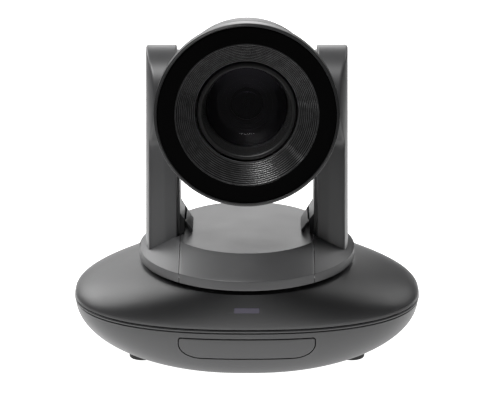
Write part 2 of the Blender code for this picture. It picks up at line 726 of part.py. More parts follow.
def make_tilt_drive():
    motor_back = SEAM_X + INNER_COVER_WALL + 1.0 * MM
    motor_front = TILT_BELT_X - GAP
    motor = rod("tilt_motor", TILT_MOTOR_RADIUS, motor_back, motor_front, aluminium(), axis="X")
    motor.data.transform(Matrix.Translation((0, 0, TILT_MOTOR_Z)))
    belt_low = TILT_BELT_X + PULLEY_FLANGE + GAP
    loop = belt(
        "tilt_belt",
        TILT_Z - TILT_MOTOR_Z,
        TILT_PULLEY_RADIUS,
        TILT_MOTOR_PULLEY_RADIUS,
        lambda a, b, height: (belt_low + height, b, TILT_Z - a),
    )
    return [motor, loop]


def make_tilt_motor_pulley():
    outline = pulley_outline(0.0, TILT_MOTOR_PULLEY_RADIUS, 0.0)
    place = (TILT_BELT_X, 0, TILT_MOTOR_Z)
    return turned("tilt_motor_pulley", outline, brass(), FINE_SIDES, "X", place)


# ---------------------------------------------------------------- head


def make_front():
    lip = 0.6 * MM
    bezel = [
        (FACE_OUTER + GAP, BEZEL_FRONT_Y),
        (BEZEL_RADIUS - lip, BEZEL_FRONT_Y),
        (BEZEL_RADIUS, BEZEL_FRONT_Y + lip),
        (BEZEL_RADIUS, BEZEL_BACK_Y - 0.8 * MM),
        (BEZEL_RADIUS - 0.8 * MM, BEZEL_BACK_Y),
        (38.2 * MM, BEZEL_BACK_Y),
        (38.2 * MM, -41.5 * MM),
        (FACE_OUTER + GAP, -41.5 * MM),
    ]
    face = [
        (FACE_INNER, -43.7 * MM),
        (FACE_OUTER, -44.2 * MM),
        (FACE_OUTER, -41.8 * MM),
        (FACE_INNER, -41.8 * MM),
    ]
    hood = [
        (FACE_INNER - GAP, -43.7 * MM),
        (HOOD_INNER, -35.7 * MM),
        (HOOD_INNER, -33.7 * MM),
        (27.6 * MM, -33.7 * MM),
        (FACE_INNER - GAP, -40.6 * MM),
    ]
    return [
        turned("front_bezel", bezel, satin_plastic(), SIDES, "Y"),
        turned("face_ring", face, gloss_plastic(), SIDES, "Y"),
        turned("lens_hood", hood, black_plastic(), SIDES, "Y"),
    ]


def lens_outline(radius, front, back, bulge_front, bulge_back, steps=3):
    """A lens section from pole to pole, with a rim of constant radius."""
    fractions = [i / steps for i in range(steps + 1)]
    front_side = [(radius * f, front + bulge_front * f * f) for f in fractions]
    back_side = [(radius * f, back - bulge_back * f * f) for f in reversed(fractions)]
    return front_side + back_side


def make_lens():
    barrel = [
        (22.4 * MM, BARREL_FRONT_Y),
        (BARREL_RADIUS - 0.5 * MM, BARREL_FRONT_Y),
        (BARREL_RADIUS, BARREL_FRONT_Y + 0.5 * MM),
        (BARREL_RADIUS, BARREL_BACK_Y),
        (BARREL_BORE, BARREL_BACK_Y),
        (BARREL_BORE, -20.0 * MM),
    ]
    glass = BARREL_BORE - GAP
    return [
        turned("lens_barrel", barrel, black_plastic(), SIDES, "Y"),
        turned("front_lens", lens_outline(glass, -25.5 * MM, -17 * MM, 4 * MM, 0.0), lens_glass(), 32, "Y"),
        box(
            "sensor_board",
            (-16 * MM, BARREL_BACK_Y + GAP, -16 * MM),
            (16 * MM, BARREL_BACK_Y + 1.9 * MM, 16 * MM),
            circuit_board(),
        ),
    ]


def lens_group(name, front, back):
    glass = lens_outline(BARREL_BORE - GAP, front, back, 1.5 * MM, 1.5 * MM)
    return turned(name, glass, lens_glass(), 24, "Y")


def housing_form(name, inset, low_y, high_y):
    """The housing's form between two planes: a drum with flat sides and a rounded back end."""
    radius = HOUSING_RADIUS - inset
    back = HOUSING_BACK_Y - inset
    corner = 12 * MM
    turn = arc((radius - corner, back - corner), corner, 0, 90, 5)
    outline = [(0, low_y), (radius, low_y)] + [(r, y) for r, y in turn] + [(0, back)]
    if high_y < back - corner:
        outline = [(0, low_y), (radius, low_y), (radius, high_y), (0, high_y)]
    drum = turned(name, outline, satin_plastic(), SIDES, "Y")
    flat = HOUSING_HALF_WIDTH - inset
    return combine(drum, box("slab", (-flat, -0.1, -0.1), (flat, 0.1, 0.1)), "INTERSECT")


def make_housing():
    front = BEZEL_BACK_Y + GAP
    housing = housing_form("head_housing", 0.0, front, HOUSING_SPLIT_Y)
    combine(housing, housing_form("cutter", HOUSING_WALL, front - 5 * MM, HOUSING_SPLIT_Y + 5 * MM))
    bore = TILT_SHAFT_RADIUS + 0.5 * MM
    combine(housing, rod("cutter", bore, -0.05, 0.05, axis="X"))
    rear = housing_form("head_rear_cover", 0.0, HOUSING_SPLIT_Y + GAP, 0.1)
    combine(rear, housing_form("cutter", HOUSING_WALL, HOUSING_SPLIT_Y - 5 * MM, 0.1))
    return [housing, rear]


def make_head_chassis():
    half = CHASSIS_HALF
    frame = box("head_chassis", (-half, -5 * MM, -half), (half, 5 * MM, half), aluminium())
    inside = HOUSING_RADIUS - HOUSING_WALL - 1 * MM
    combine(frame, rod("trimmer", inside, -0.02, 0.02, axis="Y", sides=SIDES), "INTERSECT")
    combine(frame, rod("cutter", BARREL_RADIUS + GAP, -0.02, 0.02, axis="Y", sides=SIDES))
    pieces = [frame]
    for side, name, reach in ((1, "right", 48.4 * MM), (-1, "left", 44.0 * MM)):
        flange = half + GAP
        outline = [
            (0, flange),
            (9 * MM, flange),
            (9 * MM, flange + 2 * MM),
            (TILT_SHAFT_RADIUS, flange + 2 * MM),
            (TILT_SHAFT_RADIUS, reach),
            (0, reach),
        ]
        shaft = turned(f"tilt_shaft_{name}", outline, steel(), FINE_SIDES, "X")
        pieces.append(shaft if side > 0 else mirrored_in_place(shaft))
    pulley = pulley_outline(TILT_SHAFT_RADIUS + GAP, TILT_PULLEY_RADIUS, 0.0)
    pieces.append(turned("tilt_pulley", pulley, black_plastic(), FINE_SIDES, "X", (TILT_BELT_X, 0, 0)))
    return pieces


def empty(name, place, parent=None):
    made = bpy.data.objects.new(name, None)
    bpy.context.scene.collection.objects.link(made)
    made.parent = parent
    made.location = place
    return made


def main():
    for old in list(bpy.data.objects):
        bpy.data.objects.remove(old)

    make_base_shells()
    make_rear_tray()
    make_feet()
    make_floor()
    make_base_boards()
    make_sockets()
    make_rear_controls()
    make_pan_drive()

    pan_axis = empty("pan_axis", (0, 0, 0))
    yoke = [make_centre_cover()] + make_arm_shells() + make_inner_covers() + make_deck()
    yoke += make_brackets() + make_tilt_drive() + [make_tilt_motor_pulley()]
    parented(yoke, pan_axis)

    tilt_axis = empty("tilt_axis", (0, 0, TILT_Z), pan_axis)
    tilt_axis.rotation_euler = (-REST_TILT, 0, 0)
    head = make_front() + make_lens() + make_housing() + make_head_chassis()
    head.append(lens_group("zoom_lens_group", -14 * MM, -7 * MM))
    head.append(lens_group("focus_lens_group", 11 * MM, 16 * MM))
    parented(head, tilt_axis)


main()
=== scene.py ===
# %% [markdown]
# # A desktop pan-tilt-zoom camera
# The camera stands on an oval base. A round turntable carries two upright arms, and between them hangs a round head
# with a ribbed lens hood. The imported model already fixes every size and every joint. This lesson gives each piece
# that shows its fine surface and its finish, and leaves the working model itself alone.

# %% Load the working model
import json
import math

import bmesh
import bpy
import numpy as np
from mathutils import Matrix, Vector

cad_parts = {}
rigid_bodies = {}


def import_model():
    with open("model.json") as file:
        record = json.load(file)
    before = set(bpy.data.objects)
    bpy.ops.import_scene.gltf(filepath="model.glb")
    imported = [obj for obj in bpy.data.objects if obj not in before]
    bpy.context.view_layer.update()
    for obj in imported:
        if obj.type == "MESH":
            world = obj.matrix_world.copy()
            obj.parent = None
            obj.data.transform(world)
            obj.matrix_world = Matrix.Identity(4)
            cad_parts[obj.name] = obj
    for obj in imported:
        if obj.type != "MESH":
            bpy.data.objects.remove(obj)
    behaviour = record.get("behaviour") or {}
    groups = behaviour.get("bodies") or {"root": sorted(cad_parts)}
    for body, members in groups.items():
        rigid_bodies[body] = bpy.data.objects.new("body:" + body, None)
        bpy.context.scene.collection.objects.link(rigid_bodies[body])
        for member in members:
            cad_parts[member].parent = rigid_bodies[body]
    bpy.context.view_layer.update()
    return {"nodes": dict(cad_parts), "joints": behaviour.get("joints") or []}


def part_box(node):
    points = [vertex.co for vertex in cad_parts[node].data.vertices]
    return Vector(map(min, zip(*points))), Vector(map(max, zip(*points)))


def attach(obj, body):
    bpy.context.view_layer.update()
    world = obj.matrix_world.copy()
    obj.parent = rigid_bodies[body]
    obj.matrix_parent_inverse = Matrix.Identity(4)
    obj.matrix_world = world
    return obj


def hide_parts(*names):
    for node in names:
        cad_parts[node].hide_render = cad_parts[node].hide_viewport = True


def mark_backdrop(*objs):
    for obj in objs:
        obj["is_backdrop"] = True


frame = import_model()

# %% [markdown]
# ## Driving sizes
# Sizes come from the working model where it can be measured: the boxes of its pieces and the axes of its joints.
# The few numbers beside them say what a box can't, such as how square the oval is or how fast the shell rises.

# %% Sizes read from the model
MM = 0.001
GAP = 0.3 * MM
joints = {joint["name"]: joint for joint in frame["joints"]}
bowl_low, bowl_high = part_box("base_bowl")
dome_low, dome_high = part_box("base_top_shell")
disc_low, disc_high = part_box("turntable_cover")
arm_low, arm_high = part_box("arm_shell_right")
RIM_X, RIM_Y = bowl_high.x, bowl_high.y
FLOOR_Z, SPLIT_Z, DOME_TOP_Z = bowl_low.z, (bowl_high.z + dome_low.z) / 2, dome_high.z
DISC_Z, PLATE_Z, DISC_RADIUS = disc_low.z, disc_high.z, disc_high.y
SEAM_X = (disc_high.x + arm_low.x) / 2
ARM_INNER_X = SEAM_X + 1.5 * MM
TILT_Z = joints["tilt"]["pos_m"][2]
lens_axis = joints["zoom"]["axis"]
REST_TILT = math.atan2(-lens_axis[2], lens_axis[1])
print(f"rim {RIM_X / MM:.1f} x {RIM_Y / MM:.1f} mm, split at {SPLIT_Z / MM:.1f} mm, head raised "
      f"{math.degrees(REST_TILT):.1f} degrees")

# %% [markdown]
# ## The camera that looks at it
# A long lens from about a metre away keeps the round parts round. The camera looks down by less than 20 degrees, so
# the plate of the turntable shows as a thin oval under the head. It aims near the middle of the object.

# %% Place the viewing camera
VIEW_DISTANCE = 1.1
VIEW_PITCH = math.radians(18.72)
VIEW_AIM = Vector((1.6 * MM, 0, 79.2 * MM))
view_lens = bpy.data.cameras.new("view")
view_lens.sensor_width = 36.0
view_lens.lens = 151.2
view = bpy.data.objects.new("view", view_lens)
bpy.context.scene.collection.objects.link(view)
view.location = VIEW_AIM + VIEW_DISTANCE * Vector((0, -math.cos(VIEW_PITCH), math.sin(VIEW_PITCH)))
view.rotation_euler = (math.pi / 2 - VIEW_PITCH, 0, 0)
bpy.context.scene.camera = view
print("camera at", [round(value, 3) for value in view.location])

# %% [markdown]
# ## Meshes from arrays
# Every new surface below is a grid of points worked out at once with numpy. A grid could be typed in by hand or
# modelled with the mouse, but a formula keeps the curve exact and lets the same helper serve every piece. Doubles
# are merged so that poles and seams close, and then the faces are turned outward.

# %% Helpers that turn grids into pieces
def piece(name, points, faces, crisp=35.0):
    """An object of these points and faces: doubles merged, faces outward, edges sharper than crisp degrees kept."""
    mesh = bpy.data.meshes.new(name)
    mesh.from_pydata(np.asarray(points, float).reshape(-1, 3).tolist(), [], [list(face) for face in faces])
    bm = bmesh.new()
    bm.from_mesh(mesh)
    bmesh.ops.remove_doubles(bm, verts=bm.verts, dist=2e-6)
    bmesh.ops.recalc_face_normals(bm, faces=bm.faces)
    bm.to_mesh(mesh)
    bm.free()
    mesh.shade_smooth()
    mesh.set_sharp_from_angle(angle=math.radians(crisp))
    made = bpy.data.objects.new(name, mesh)
    bpy.context.scene.collection.objects.link(made)
    return made


def quads(rows, columns, wrap_rows=False, wrap_columns=True, first=0):
    """The faces between neighbours of a grid of rows and columns, numbered from first, wrapped round where asked."""
    index = np.arange(rows * columns).reshape(rows, columns) + first
    if wrap_rows:
        index = np.vstack([index, index[:1]])
    if wrap_columns:
        index = np.hstack([index, index[:, :1]])
    corners = [index[:-1, :-1], index[:-1, 1:], index[1:, 1:], index[1:, :-1]]
    return np.stack(corners, axis=-1).reshape(-1, 4).tolist()


def ring_piece(name, grid, crisp=35.0, loop=True):
    """A piece of rings: each row of the grid closes on itself, and with loop the last row joins the first."""
    rows, columns = grid.shape[:2]
    return piece(name, grid, quads(rows, columns, wrap_rows=loop), crisp)


def walled_piece(name, outer, inner, crisp=35.0):
    """A shell between two sheets of the same grid, closed along all four edges."""
    rows, columns = outer.shape[:2]
    front = np.arange(rows * columns).reshape(rows, columns)
    back = front + rows * columns
    rims = ((front[0], back[0]), (front[-1], back[-1]), (front[:, 0], back[:, 0]), (front[:, -1], back[:, -1]))
    faces = quads(rows, columns, wrap_columns=False)
    faces += quads(rows, columns, wrap_columns=False, first=rows * columns)
    for near, far in rims:
        faces += np.stack([near[:-1], near[1:], far[1:], far[:-1]], axis=-1).tolist()
    return piece(name, np.concatenate([outer.reshape(-1, 3), inner.reshape(-1, 3)]), faces, crisp)


def filleted(corners, radii, steps=4):
    """A closed profile in mm, given by its corners, with an arc of its own radius at each, as metres.

    The arc runs between the two points at radius / tan(half the corner's angle) from the corner, and its points are
    found by turning evenly from one tangent point to the other about the arc's centre.
    """
    corner = np.asarray(corners, float) * MM
    radius = np.broadcast_to(np.asarray(radii, float), (len(corner),))[:, None] * MM
    back = np.roll(corner, 1, axis=0) - corner
    ahead = np.roll(corner, -1, axis=0) - corner
    back /= np.linalg.norm(back, axis=1, keepdims=True)
    ahead /= np.linalg.norm(ahead, axis=1, keepdims=True)
    half = np.arccos(np.clip((back * ahead).sum(axis=1, keepdims=True), -0.99999, 0.99999)) / 2
    middle = (back + ahead) / np.linalg.norm(back + ahead, axis=1, keepdims=True)
    centre = corner + middle * radius / np.sin(half)
    start = corner + back * radius / np.tan(half) - centre
    stop = corner + ahead * radius / np.tan(half) - centre
    turn = (math.pi - 2 * half)[:, None, :]
    t = np.linspace(0, 1, steps + 1)[None, :, None]
    spread = np.sin((1 - t) * turn) * start[:, None, :] + np.sin(t * turn) * stop[:, None, :]
    return (centre[:, None, :] + spread / np.sin(turn)).reshape(-1, 2)


print("helpers ready")

# %% [markdown]
# Two more helpers give a mesh its place. Pieces of the head are worked out level, about the tilt axis, with y
# running back along the lens, and are then tilted and lifted together. Round pieces are a profile carried round an
# axis.

# %% Helpers for the head and for turned pieces
def to_head(points):
    """Level head coordinates turned up by the rest tilt about X and lifted to the tilt axis."""
    c, s = math.cos(REST_TILT), math.sin(REST_TILT)
    x, y, z = points[..., 0], points[..., 1], points[..., 2]
    return np.stack([x, y * c + z * s, z * c - y * s + TILT_Z], axis=-1)


def circle(count):
    """Even angles round a full turn."""
    return np.linspace(0, 2 * math.pi, count, endpoint=False)


def around_lens(profile, sides=180):
    """A profile of (radius, depth) carried round the lens axis: x = r sin a, y = depth, z = r cos a."""
    angle = circle(sides)[None, :]
    radius, depth = profile[:, :1], profile[:, 1:]
    return np.stack([radius * np.sin(angle), depth + 0 * angle, radius * np.cos(angle)], axis=-1)


def around_post(profile, sides=96, place=(0, 0, 0)):
    """A profile of (radius, height) carried round an upright axis through place."""
    angle = circle(sides)[None, :]
    radius, height = profile[:, :1], profile[:, 1:]
    return np.stack([radius * np.cos(angle), radius * np.sin(angle), height + 0 * angle], axis=-1) + np.array(place)


def applied(target):
    """Bakes the target's modifiers into its mesh."""
    graph = bpy.context.evaluated_depsgraph_get()
    graph.update()
    mesh = bpy.data.meshes.new_from_object(target.evaluated_get(graph))
    target.modifiers.clear()
    target.data = mesh
    return target


def softened(target, width, angle=50.0, segments=3):
    """Rounds the edges sharper than angle degrees to the given width in mm."""
    bevel = target.modifiers.new("rounded_edges", "BEVEL")
    bevel.width = width * MM
    bevel.segments = segments
    bevel.limit_method = "ANGLE"
    bevel.angle_limit = math.radians(angle)
    applied(target)
    target.data.shade_smooth()
    target.data.set_sharp_from_angle(angle=math.radians(40))
    return target


def combined(target, tool, operation="DIFFERENCE"):
    """Cuts the tool from the target, or adds it, and removes the tool."""
    cut = target.modifiers.new("cut", "BOOLEAN")
    cut.operation = operation
    cut.solver = "EXACT"
    cut.object = tool
    applied(target)
    bpy.data.objects.remove(tool)
    target.data.shade_smooth()
    target.data.set_sharp_from_angle(angle=math.radians(35))
    return target


def finished(target, body, slot, material, *nodes):
    """Gives a piece its material and its body, and hides the nodes of the working model that it stands for."""
    target.data.materials.clear()
    target.data.materials.append(material)
    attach(target, body)
    if nodes:
        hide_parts(*nodes)
    print(f"{target.name}: {len(target.data.polygons)} faces on {body}")
    return target


print("placing helpers ready")

# %% [markdown]
# ## Finishes
# The whole outside is one dark-grey moulded plastic with a fine spark-eroded grain, so most of the realism is in
# how that grain scatters the soft light. Two effects are shared by many finishes and are built once as node groups:
# the grain of the mould, and a painted sheen, a lighter shade on convex edges that stands in for a highlight.

# %% The node group for mould grain
def new_group(name, inputs, outputs):
    """An empty shader node group with named inputs (name, value) and outputs (name, kind)."""
    group = bpy.data.node_groups.new(name, "ShaderNodeTree")
    for label, value in inputs:
        socket = group.interface.new_socket(label, in_out="INPUT", socket_type="NodeSocketFloat")
        socket.default_value = value
    for label in outputs:
        group.interface.new_socket(label, in_out="OUTPUT", socket_type="NodeSocketFloat")
    return group, group.nodes.new("NodeGroupInput"), group.nodes.new("NodeGroupOutput")


def wired(tree, kind, settings=(), links=()):
    """A node of that kind with its settings made and the named inputs linked or filled."""
    node = tree.nodes.new(kind)
    for attribute, value in dict(settings).items():
        setattr(node, attribute, value)
    for socket, source in dict(links).items():
        if isinstance(source, bpy.types.NodeSocket):
            tree.links.new(source, node.inputs[socket])
        else:
            node.inputs[socket].default_value = source
    return node


def make_grain_group():
    """Grain height: fine noise with a coarser orange peel under it. Mottle: soft patches some mm across."""
    inputs = (("Grain Scale", 2600.0), ("Peel Scale", 420.0), ("Peel Share", 0.3), ("Patch Scale", 45.0))
    tree, given, result = new_group("mould_grain", inputs, ("Height", "Mottle"))
    place = wired(tree, "ShaderNodeTexCoord").outputs["Object"]
    fine = wired(tree, "ShaderNodeTexNoise", {}, {"Vector": place, "Scale": given.outputs["Grain Scale"],
                                                  "Detail": 1.0, "Roughness": 0.5})
    peel = wired(tree, "ShaderNodeTexNoise", {}, {"Vector": place, "Scale": given.outputs["Peel Scale"],
                                                  "Detail": 0.0})
    both = wired(tree, "ShaderNodeMix", {}, {"Factor": given.outputs["Peel Share"],
                                             "A": fine.outputs["Fac"], "B": peel.outputs["Fac"]})
    patch = wired(tree, "ShaderNodeTexNoise", {}, {"Vector": place, "Scale": given.outputs["Patch Scale"],
                                                   "Detail": 3.0, "Roughness": 0.6})
    tree.links.new(both.outputs["Result"], result.inputs["Height"])
    tree.links.new(patch.outputs["Fac"], result.inputs["Mottle"])
    return tree


grain_group = make_grain_group()
print("grain group:", len(grain_group.nodes), "nodes")

# %% [markdown]
# A painted sheen, a lighter shade that stands in for a highlight, goes where a surface turns sharply. Cycles gives
# that as pointiness, which is above one half on convex edges. The group stretches the part just above one half to a
# mask, and breaks it up with noise so that it isn't a drawn outline.

# %% The node group for the painted edge sheen
def make_edge_sheen_group():
    """Painted sheen mask: pointiness from Start to End times patchy noise, to lighten convex edges as a highlight.
    """
    tree, given, result = new_group("painted_edge_sheen", (("Start", 0.505), ("End", 0.56), ("Amount", 0.5)), ("Mask",))
    edge = wired(tree, "ShaderNodeNewGeometry").outputs["Pointiness"]
    ramp = wired(tree, "ShaderNodeMapRange", {}, {"Value": edge, "From Min": given.outputs["Start"],
                                                  "From Max": given.outputs["End"], "To Min": 0.0,
                                                  "To Max": given.outputs["Amount"]})
    place = wired(tree, "ShaderNodeTexCoord").outputs["Object"]
    noise = wired(tree, "ShaderNodeTexNoise", {}, {"Vector": place, "Scale": 260.0, "Detail": 2.0})
    mask = wired(tree, "ShaderNodeMath", {"operation": "MULTIPLY"}, {0: ramp.outputs["Result"],
                                                                     1: noise.outputs["Fac"]})
    tree.links.new(mask.outputs["Value"], result.inputs["Mask"])
    return tree


edge_sheen_group = make_edge_sheen_group()
print("painted edge sheen group:", len(edge_sheen_group.nodes), "nodes")

# %% [markdown]
# A finish is then a Principled shader with the two groups in front of it. The colour runs between two close shades
# with the mottle, the edges take a lighter shade as a painted highlight, the roughness wanders a little, and the
# grain drives a bump.

# %% A moulded finish
PATCHINESS = 0.12


def moulded(name, shade, tint, rough, bump, grain_scale=2600.0, sheen_amount=0.5, polish=0.06, specular=0.5,
            sheen_shade=None):
    """A moulded material. shade is the grey, tint its colour cast, bump the grain's depth in mm.

    Convex edges take a lighter shade, a painted highlight; it is a little over one and a half times the grey unless
    the last argument gives it.
    """
    sheen_shade = sheen_shade or shade * 1.6 + 0.01
    material = bpy.data.materials.new(name)
    material.use_nodes = True
    tree = material.node_tree
    shader = tree.nodes["Principled BSDF"]
    grain = wired(tree, "ShaderNodeGroup", {"node_tree": grain_group}, {"Grain Scale": grain_scale})
    sheen_mask = wired(tree, "ShaderNodeGroup", {"node_tree": edge_sheen_group}, {"Amount": sheen_amount})
    low = [shade * part * (1 - PATCHINESS) for part in tint] + [1.0]
    high = [shade * part * (1 + PATCHINESS) for part in tint] + [1.0]
    edge = [sheen_shade * part for part in tint] + [1.0]
    body = wired(tree, "ShaderNodeMix", {"data_type": "RGBA"}, {"Factor": grain.outputs["Mottle"]})
    body.inputs[6].default_value, body.inputs[7].default_value = low, high
    # Convex edges are mixed towards the lighter edge shade: a painted sheen that stands in for a highlight.
    body_with_sheen = wired(tree, "ShaderNodeMix", {"data_type": "RGBA"}, {"Factor": sheen_mask.outputs["Mask"]})
    tree.links.new(body.outputs[2], body_with_sheen.inputs[6])
    body_with_sheen.inputs[7].default_value = edge
    spread = wired(tree, "ShaderNodeMapRange", {}, {"Value": grain.outputs["Mottle"], "To Min": rough - polish,
                                                    "To Max": rough + polish})
    relief = wired(tree, "ShaderNodeBump", {}, {"Height": grain.outputs["Height"], "Distance": bump * MM,
                                                "Strength": 1.0})
    tree.links.new(body_with_sheen.outputs[2], shader.inputs["Base Color"])
    tree.links.new(spread.outputs["Result"], shader.inputs["Roughness"])
    tree.links.new(relief.outputs["Normal"], shader.inputs["Normal"])
    shader.inputs["Specular IOR Level"].default_value = specular
    return material


SHELL_TINT = (1.0, 1.0, 1.03)
BLACK_TINT = (1.0, 1.0, 1.02)
shell_plastic = moulded("satin_shell", 0.046, SHELL_TINT, 0.42, 0.012, specular=0.6)
black_plastic = moulded("fine_matt_black", 0.008, BLACK_TINT, 0.42, 0.008, sheen_amount=0.3)
# The hood's rib crests take a much lighter edge shade: a painted highlight that draws the ribs as light lines.
hood_plastic = moulded("ribbed_hood_black", 0.006, BLACK_TINT, 0.25, 0.002, sheen_amount=1.6, specular=1.0,
                       sheen_shade=0.09)
bezel_plastic = moulded("bezel_satin", 0.018, SHELL_TINT, 0.36, 0.008)
gloss_black = moulded("polished_black", 0.002, BLACK_TINT, 0.09, 0.0006, 700.0, sheen_amount=0.0, polish=0.02,
                      specular=0.08)
rubber = moulded("foot_rubber", 0.012, BLACK_TINT, 0.75, 0.03, 1500.0, sheen_amount=0.4, polish=0.08)
belt_rubber = moulded("belt_rubber", 0.018, BLACK_TINT, 0.65, 0.02, 1800.0, sheen_amount=0.3)
print("moulded finishes:", shell_plastic.name, black_plastic.name, hood_plastic.name, gloss_black.name, rubber.name)

# %% [markdown]
# The metal pieces sit at the back, underneath and inside. Rolled sheet has fine lines in one direction, and turned
# brass has rings. Both are noise that is stretched a hundredfold along one direction before it drives the roughness
# and the bump.

# %% Metals
def metal(name, color, rough, stretch, scale=900.0, bump=0.004, spread=0.12):
    """A metal with tool marks: noise stretched by the three factors in stretch."""
    material = bpy.data.materials.new(name)
    material.use_nodes = True
    tree = material.node_tree
    shader = tree.nodes["Principled BSDF"]
    place = wired(tree, "ShaderNodeTexCoord").outputs["Object"]
    pulled = wired(tree, "ShaderNodeMapping", {}, {"Vector": place, "Scale": stretch})
    marks = wired(tree, "ShaderNodeTexNoise", {}, {"Vector": pulled.outputs["Vector"], "Scale": scale,
                                                   "Detail": 3.0})
    grain = wired(tree, "ShaderNodeGroup", {"node_tree": grain_group}, {"Patch Scale": 90.0})
    sheen_mask = wired(tree, "ShaderNodeGroup", {"node_tree": edge_sheen_group}, {"Amount": 0.6})
    body = wired(tree, "ShaderNodeMix", {"data_type": "RGBA"}, {"Factor": grain.outputs["Mottle"]})
    body.inputs[6].default_value = [part * 0.82 for part in color] + [1.0]
    body.inputs[7].default_value = [min(part * 1.12, 1.0) for part in color] + [1.0]
    # Convex edges take a lighter colour: a painted sheen that stands in for a highlight.
    bright = wired(tree, "ShaderNodeMix", {"data_type": "RGBA"}, {"Factor": sheen_mask.outputs["Mask"]})
    tree.links.new(body.outputs[2], bright.inputs[6])
    bright.inputs[7].default_value = [min(part * 1.35, 1.0) for part in color] + [1.0]
    uneven = wired(tree, "ShaderNodeMapRange", {}, {"Value": marks.outputs["Fac"], "To Min": rough - spread,
                                                    "To Max": rough + spread})
    relief = wired(tree, "ShaderNodeBump", {}, {"Height": marks.outputs["Fac"], "Distance": bump * MM})
    tree.links.new(bright.outputs[2], shader.inputs["Base Color"])
    tree.links.new(uneven.outputs["Result"], shader.inputs["Roughness"])
    tree.links.new(relief.outputs["Normal"], shader.inputs["Normal"])
    shader.inputs["Metallic"].default_value = 1.0
    return material


sheet_steel = metal("rolled_steel", (0.56, 0.56, 0.57), 0.34, (0.02, 1.0, 1.0))
bright_steel = metal("plated_steel", (0.66, 0.66, 0.66), 0.24, (1.0, 1.0, 1.0), 300.0, 0.002)
turned_brass = metal("turned_brass", (0.72, 0.53, 0.25), 0.28, (0.2, 0.2, 1.0), 1200.0)
cast_aluminium = metal("cast_aluminium", (0.62, 0.62, 0.63), 0.45, (1.0, 1.0, 1.0), 700.0, 0.02)
print("metals:", sheet_steel.name, bright_steel.name, turned_brass.name, cast_aluminium.name)

# %% [markdown]
# The front lens is real glass: it lets light in, and the black barrel behind it keeps that light. Its coating takes
# away most of the reflections, so the specular level is low. The window of the status lamp is a smoked plastic that
# hides the lamp until it is lit.

# %% Glass, smoked window and circuit board
def glassy(name, color, rough, transmission, specular):
    """A clear material with faint dust in its roughness. A coated lens has a low specular level."""
    material = bpy.data.materials.new(name)
    material.use_nodes = True
    tree = material.node_tree
    shader = tree.nodes["Principled BSDF"]
    grain = wired(tree, "ShaderNodeGroup", {"node_tree": grain_group}, {"Patch Scale": 120.0})
    dust = wired(tree, "ShaderNodeMapRange", {}, {"Value": grain.outputs["Mottle"], "From Min": 0.55,
                                                  "To Min": rough, "To Max": rough + 0.05})
    hue = wired(tree, "ShaderNodeMix", {"data_type": "RGBA"}, {"Factor": grain.outputs["Mottle"]})
    hue.inputs[6].default_value = [part * 0.97 for part in color] + [1.0]
    hue.inputs[7].default_value = list(color) + [1.0]
    tree.links.new(hue.outputs[2], shader.inputs["Base Color"])
    tree.links.new(dust.outputs["Result"], shader.inputs["Roughness"])
    shader.inputs["Transmission Weight"].default_value = transmission
    shader.inputs["IOR"].default_value = 1.5
    shader.inputs["Specular IOR Level"].default_value = specular
    return material


lens_glass = glassy("coated_glass", (0.5, 0.48, 0.54), 0.0, 1.0, 0.12)
smoked_window = glassy("smoked_window", (0.15, 0.14, 0.18), 0.2, 0.0, 0.5)


def make_board_finish():
    """Solder mask with copper tracks under it: the thin, lighter mortar lines of a brick texture, with a slight
    bump.
    """
    material = bpy.data.materials.new("solder_mask")
    material.use_nodes = True
    tree = material.node_tree
    shader = tree.nodes["Principled BSDF"]
    place = wired(tree, "ShaderNodeTexCoord").outputs["Object"]
    cells = wired(tree, "ShaderNodeTexBrick", {}, {"Vector": place, "Scale": 320.0, "Mortar Size": 0.03,
                                                   "Color1": (0.01, 0.11, 0.05, 1), "Mortar": (0.05, 0.24, 0.11, 1),
                                                   "Color2": (0.012, 0.13, 0.06, 1)})
    relief = wired(tree, "ShaderNodeBump", {}, {"Height": cells.outputs["Fac"], "Distance": 0.02 * MM})
    tree.links.new(cells.outputs["Color"], shader.inputs["Base Color"])
    tree.links.new(relief.outputs["Normal"], shader.inputs["Normal"])
    shader.inputs["Roughness"].default_value = 0.3
    return material


solder_mask = make_board_finish()
print("clear finishes:", lens_glass.name, smoked_window.name, "and", solder_mask.name)

# %% [markdown]
# ## The bowl
# The lower half of the base is one deep bowl with an oval rim. Its plan is a superellipse, a little squarer than an
# ellipse, and its side rolls under like a quarter ellipse to a round flat floor. Scaling a sphere would give the
# wrong plan, so each ring is computed from its own half widths, and the rings run outside, under and back up
# inside, which makes one closed wall.

# %% The oval ring and the bowl's section
RIM_POWER = 2.38
BOWL_POWER = 2.0
LIP_HEIGHT = 1.6 * MM
BOWL_FLOOR_RADIUS = 49 * MM
BOWL_WALL = 2.4 * MM
FLOOR_HOLE_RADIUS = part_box("bottom_plate")[1].x + GAP


def oval_rings(half_x, half_y, power, height, sides=240):
    """Rings of x = half_x |cos a|^(2/power) and y = half_y |sin a|^(2/power), with their signs, at each height."""
    half_x, half_y, power, height = np.broadcast_arrays(half_x, half_y, power, height)
    c, s = np.cos(circle(sides))[None, :], np.sin(circle(sides))[None, :]
    exponent = 2 / power[:, None]
    x = half_x[:, None] * np.sign(c) * np.abs(c) ** exponent
    y = half_y[:, None] * np.sign(s) * np.abs(s) ** exponent
    return np.stack([x, y, height[:, None] + 0 * x], axis=-1)


def bowl_section(step, inset=0.0):
    """Half widths and height of the bowl from under its lip (step 0) to its floor (step 1)."""
    angle = step * math.pi / 2
    out = np.clip(np.cos(angle), 0, 1) ** (2 / BOWL_POWER)
    down = np.sin(angle) ** (2 / BOWL_POWER)
    top = SPLIT_Z - LIP_HEIGHT
    half_x = BOWL_FLOOR_RADIUS + (RIM_X - BOWL_FLOOR_RADIUS) * out - inset
    half_y = BOWL_FLOOR_RADIUS + (RIM_Y - BOWL_FLOOR_RADIUS) * out - inset
    return half_x, half_y, top - (top - FLOOR_Z - inset) * down


